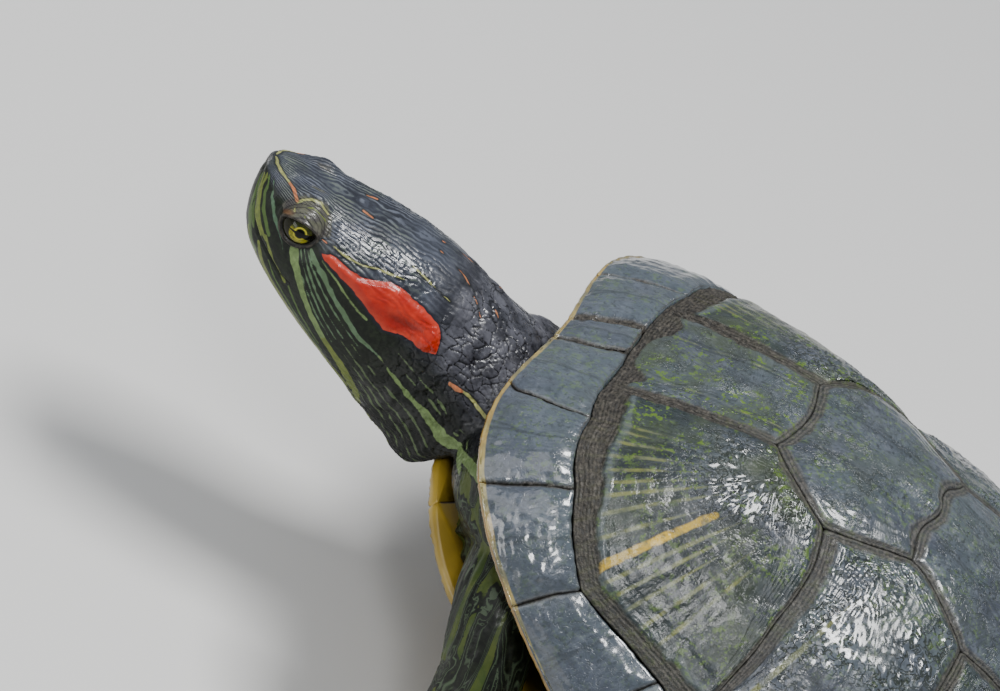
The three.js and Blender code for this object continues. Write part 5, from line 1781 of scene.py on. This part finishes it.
def skin_material():
    look = Shader("skin")
    behind, round_, limb_share, marble = map(look.field, ("behind", "round", "limb", "marble"))
    mottle, fine = look.noise(160, 4), look.noise(700, 4, 0.6)
    side = round_.step(66, 84)

    # crown: blue-grey with fine pale wavy lines; cheeks and throat: black; nape: grey and cracked
    wave = look.field("wave").math("SINE")
    breaks = look.noise(300, 3).step(0.36, 0.58, 0.2, 1.0)
    line_tone = look.mix(look.noise(110, 2).step(0.4, 0.62), (0.085, 0.095, 0.120), (0.085, 0.100, 0.080))
    crown = look.layers(
        look.mix(mottle.step(0.35, 0.65), (0.016, 0.018, 0.024), (0.036, 0.041, 0.054)),
        (wave.step(-0.35, -0.85, 0, 0.55) * behind.step(52, 26, 0.3, 1.0), (0.010, 0.011, 0.015)),
        (wave.step(0.1, 0.8) * breaks * behind.step(52, 24, 0.15, 1.0), line_tone),
    )
    cheek = look.mix(fine.step(0.4, 0.7), (0.003, 0.005, 0.002), (0.009, 0.014, 0.006))
    nape = look.mix(mottle.step(0.38, 0.64), (0.016, 0.016, 0.020), (0.068, 0.068, 0.080))
    nape = look.mix(side, nape, (0.006, 0.007, 0.006))
    head = look.layers(
        look.mix(side, crown, cheek),
        (behind.step(42, 54, 0, 0.85), nape),
        (look.field("crack").step(0.15, 0.8, 0, 0.9), (0.003, 0.003, 0.004)),
    )

    # limbs: black, with green patches between thin lines that run round them like a map's
    contour = abs(marble - 0.08).step(0.045, 0.015) * 0.9
    for level, wide, narrow, share in ((0.18, 0.04, 0.012, 0.65), (0.40, 0.05, 0.015, 0.6)):
        contour = contour.math("MAXIMUM", abs(marble + level).step(wide, narrow) * share)
    green = look.mix(mottle.step(0.35, 0.65), (0.028, 0.048, 0.008), (0.058, 0.074, 0.013))
    limb = look.layers(
        look.mix(fine.step(0.4, 0.7), (0.003, 0.004, 0.002), (0.009, 0.012, 0.006)),
        (contour, (0.050, 0.072, 0.040)),
        (marble.step(0.22, 0.27), green),
    )

    # stripes and the red patch, with painted shade in the hollow over the eardrum
    stripe, red = look.field("stripe"), look.field("red")
    stripe_tone = look.field("stripe_colour", "Color")
    stripe_tone = look.mix(fine.step(0.36, 0.62, 0, 0.4), stripe_tone, (0.038, 0.058, 0.018))
    blood = look.layers(
        look.mix(look.noise(190, 3).step(0.35, 0.7), (0.27, 0.010, 0.004), (0.40, 0.028, 0.011)),
        (red.step(-0.1, -1.2, 0.3, 0), (0.42, 0.07, 0.035)),
        # painted shade: the red darker in the hollow over the eardrum
        (look.field("hollow").step(0.15, 0.9, 0, 0.8), (0.16, 0.006, 0.003)),
    )
    colour = look.layers(
        look.mix(limb_share, head, limb),
        (stripe.step(0.75, 0.1) * side.step(0, 1, 0.75, 0.3), (0.005, 0.006, 0.005)),
        (stripe.step(0.10, -0.08), stripe_tone),
        (red.step(0.9, 0.2, 0, 0.9), (0.008, 0.008, 0.012)),
        (red.step(0.08, -0.10), blood),
    )

    # lids: dark rims, then brow skin with fine concentric folds, painted darker in their creases as shade
    lid, above, along, lid_round = map(look.field, ("lid", "lid_above", "lid_along", "lid_round"))
    folds = abs((lid_round * 3.3).math("SINE"))
    front = along.step(-1.6, -3.0) * above.step(0.6, 1.6)
    brow = look.layers(
        look.mix(look.noise(300, 3).step(0.4, 0.62), (0.040, 0.037, 0.035), (0.064, 0.065, 0.044)),
        # painted shade: the brow darker in the creases of its folds
        (folds.step(0.45, 0.1), (0.014, 0.013, 0.014)),
        (look.noise(420, 3).step(0.52, 0.66, 0, 0.5), (0.092, 0.088, 0.066)),
        (front * lid.step(1.8, 1.4, 0, 0.7), (0.10, 0.042, 0.014)),
        (above.step(0.4, -0.5), (0.010, 0.012, 0.010)),
    )
    reach = above.step(-0.3, 2.2, 2.0, 6.1).math("MAXIMUM", above.step(-0.3, 0.0, 4.6, 2.0))
    inside = (lid_round - reach).step(0.15, -0.25)
    lid_tone = look.mix(fine.step(0.4, 0.6), (0.012, 0.010, 0.008), (0.045, 0.038, 0.028))
    colour = look.layers(
        colour,
        (inside * (stripe + lid.step(1.4, 1.2)).step(-0.15, 0.2), brow),
        (lid.step(1.30, 1.14, 0, 0.85), lid_tone),
        (lid.step(1.08, 1.0), (0.004, 0.004, 0.003)),
        (look.field("mouth").step(0.34, 0.05, 0, 0.9), (0.003, 0.003, 0.002)),
    )

    dry = (side * behind.step(40, 54, 1.0, 0.45)).math("MAXIMUM", limb_share)
    wet = look.noise(75, 3).step(0.40, 0.66, 0.46, 0.22)
    rough = look.mix_value(dry, wet, mottle.step(0.3, 0.7, 0.42, 0.55))
    look.set(Base_Color=colour, Roughness=rough, Specular_IOR_Level=0.22)
    look.set(Coat_Weight=look.mix_value(dry, wet.step(0.44, 0.24, 0.06, 0.5), 0.05), Coat_Roughness=0.14)
    height = look.noise(1900, 3, 0.6) * 0.045 + fine * 0.09
    height += wave * (1.0 - dry) * 0.05
    look.set(Normal=look.bump(height, 0.001, 0.8))
    return look.material


def eye_material():
    look = Shader("eye")
    along, high, out = map(look.field, ("eye_along", "eye_high", "eye_out"))
    iris = look.mix(look.noise(1100, 3).step(0.38, 0.62), (0.26, 0.235, 0.012), (0.10, 0.10, 0.006))
    # painted shade: the upper part of the iris darker, as if in the shadow of the lid above it
    lid_shaded_iris = look.mix(look.noise(700, 3).step(0.35, 0.65), (0.018, 0.022, 0.005), (0.045, 0.050, 0.010))
    bar = (abs(high + 0.12) - (along * 0.12 + 0.40)).step(0.10, -0.06)
    bar_reach = along.step(0.2, 0.6).math("MAXIMUM", along.step(-1.0, -0.6, 1, 0))
    colour = look.layers(
        look.mix(high.step(0.75, 0.25), lid_shaded_iris, iris),
        (abs(out - 1.32).step(0.24, 0.08, 0, 0.9), (0.36, 0.33, 0.030)),
        (out.step(2.35, 2.7), (0.010, 0.010, 0.004)),
        (bar * bar_reach, (0.003, 0.003, 0.002)),
        (out.step(1.06, 0.94), (0.0008, 0.0008, 0.0008)),
    )
    look.set(Base_Color=colour, Roughness=0.12, Specular_IOR_Level=0.1, Coat_Weight=0.15, Coat_Roughness=0.02)
    return look.material


# ---- Shell ----


def build_shell():
    horn, belly = carapace_material(), plastron_material()
    dress(marginal("scute_nuchal", 0, 0, 0, columns=26), horn, "carapace", "nuchal_scute")
    for k in range(1, 6):
        dress(vertebral(k), horn, "carapace", f"vertebral_{k}")
    for side in (1, -1):
        word = side_name(side)
        for k in range(1, 5):
            dress(costal(k, side), horn, "carapace", f"costal_{word}_{k}")
        for k in range(1, 13):
            piece = marginal(f"scute_marginal_{k}_{word}", 2 * k - 2, 2 * k, side)
            dress(piece, horn, "carapace", f"marginal_{word}_{k}")
        for k, name in enumerate(PLASTRAL_NAMES):
            dress(plastral(k, side), belly, "plastron", f"{name}_{word}")


# ---- Floor, lights and camera ----

CAMERA = {
    "right": np.array([-0.626, -0.335, 0.704]),
    "up": np.array([0.756, -0.481, 0.444]),
    "back": np.array([0.19, 0.811, 0.554]),
    "distance": 1500.0,
    "aim": np.array([93.2, -11.8, -14.6]),
    "lens": 252.65,
}


def shell_direction(vector):
    return Vector(np.asarray(vector) @ SHELL_TURN.T).normalized()


def set_camera():
    eye = Vector(to_row(CAMERA["back"] * CAMERA["distance"]))
    aim = Vector(to_row(CAMERA["aim"]))
    back = (eye - aim).normalized()
    right = shell_direction(CAMERA["right"])
    up = back.cross(right).normalized()
    right = up.cross(back)
    camera = bpy.data.objects.new("camera", bpy.data.cameras.new("camera"))
    camera.data.lens = CAMERA["lens"]
    camera.data.sensor_width = 36
    camera.data.clip_start = 0.05
    camera.data.clip_end = 20
    camera.matrix_world = Matrix.Translation(eye) @ Matrix((right, up, back)).transposed().to_4x4()
    bpy.context.scene.collection.objects.link(camera)
    bpy.context.scene.camera = camera


def area_light(name, towards, direction, distance, size, power):
    """A soft lamp that looks at a point, from a direction in the row's frame."""
    data = bpy.data.lights.new(name, "AREA")
    data.shape = "RECTANGLE"
    data.size, data.size_y = size
    data.energy = power
    lamp = bpy.data.objects.new(name, data)
    away = Vector(direction).normalized()
    lamp.location = Vector(towards) + away * distance
    lamp.rotation_euler = away.to_track_quat("Z", "Y").to_euler()
    bpy.context.scene.collection.objects.link(lamp)


def glint_direction(x, y):
    """Where a lamp must stand for the dome over (x, y) to mirror it into the camera."""
    normal = surface_frame(dome_at, place_over(np.array([x]), np.array([y])))[1][0]
    back = CAMERA["back"]
    return shell_direction(2 * normal * (normal @ back) - back)


def set_stage():
    mesh = bpy.data.meshes.new("floor")
    mesh.from_pydata([(-4, -4, 0), (4, -4, 0), (4, 4, 0), (-4, 4, 0)], [], [(0, 1, 2, 3)])
    floor = bpy.data.objects.new("floor", mesh)
    bpy.context.scene.collection.objects.link(floor)
    mesh.materials.append(plain("floor", (0.55, 0.545, 0.53), 0.9))
    world = bpy.data.worlds.new("studio")
    world.use_nodes = True
    world.node_tree.nodes["Background"].inputs["Color"].default_value = (0.80, 0.87, 1.0, 1)
    world.node_tree.nodes["Background"].inputs["Strength"].default_value = 0.38
    bpy.context.scene.world = world
    middle = to_row([20, 0, 10])
    area_light("key", middle, glint_direction(10.4, 34.8), 0.9, (0.3, 0.25), 13)
    area_light("fill", middle, (0.8, 0.5, 0.9), 1.2, (0.8, 0.8), 4)
    area_light("front", middle, (0.2, 0.52, 0.83), 1.0, (0.14, 0.3), 0.7)
    area_light("edge", middle, (0.0, 0.67, 0.72), 1.0, (0.12, 0.20), 3.0)
    area_light("low", to_row([80, 20, -20]), (0.55, 0.82, 0.12), 0.8, (0.3, 0.2), 1.2)


build_shell()
build_skin(skin_material())
eye_look, claw_look = eye_material(), plain("claw", (0.020, 0.016, 0.012), 0.3)
for side in (1, -1):
    build_eye(side, eye_look)
for name, leg in LEGS.items():
    build_claws(name, leg, claw_look)
set_stage()
set_camera()
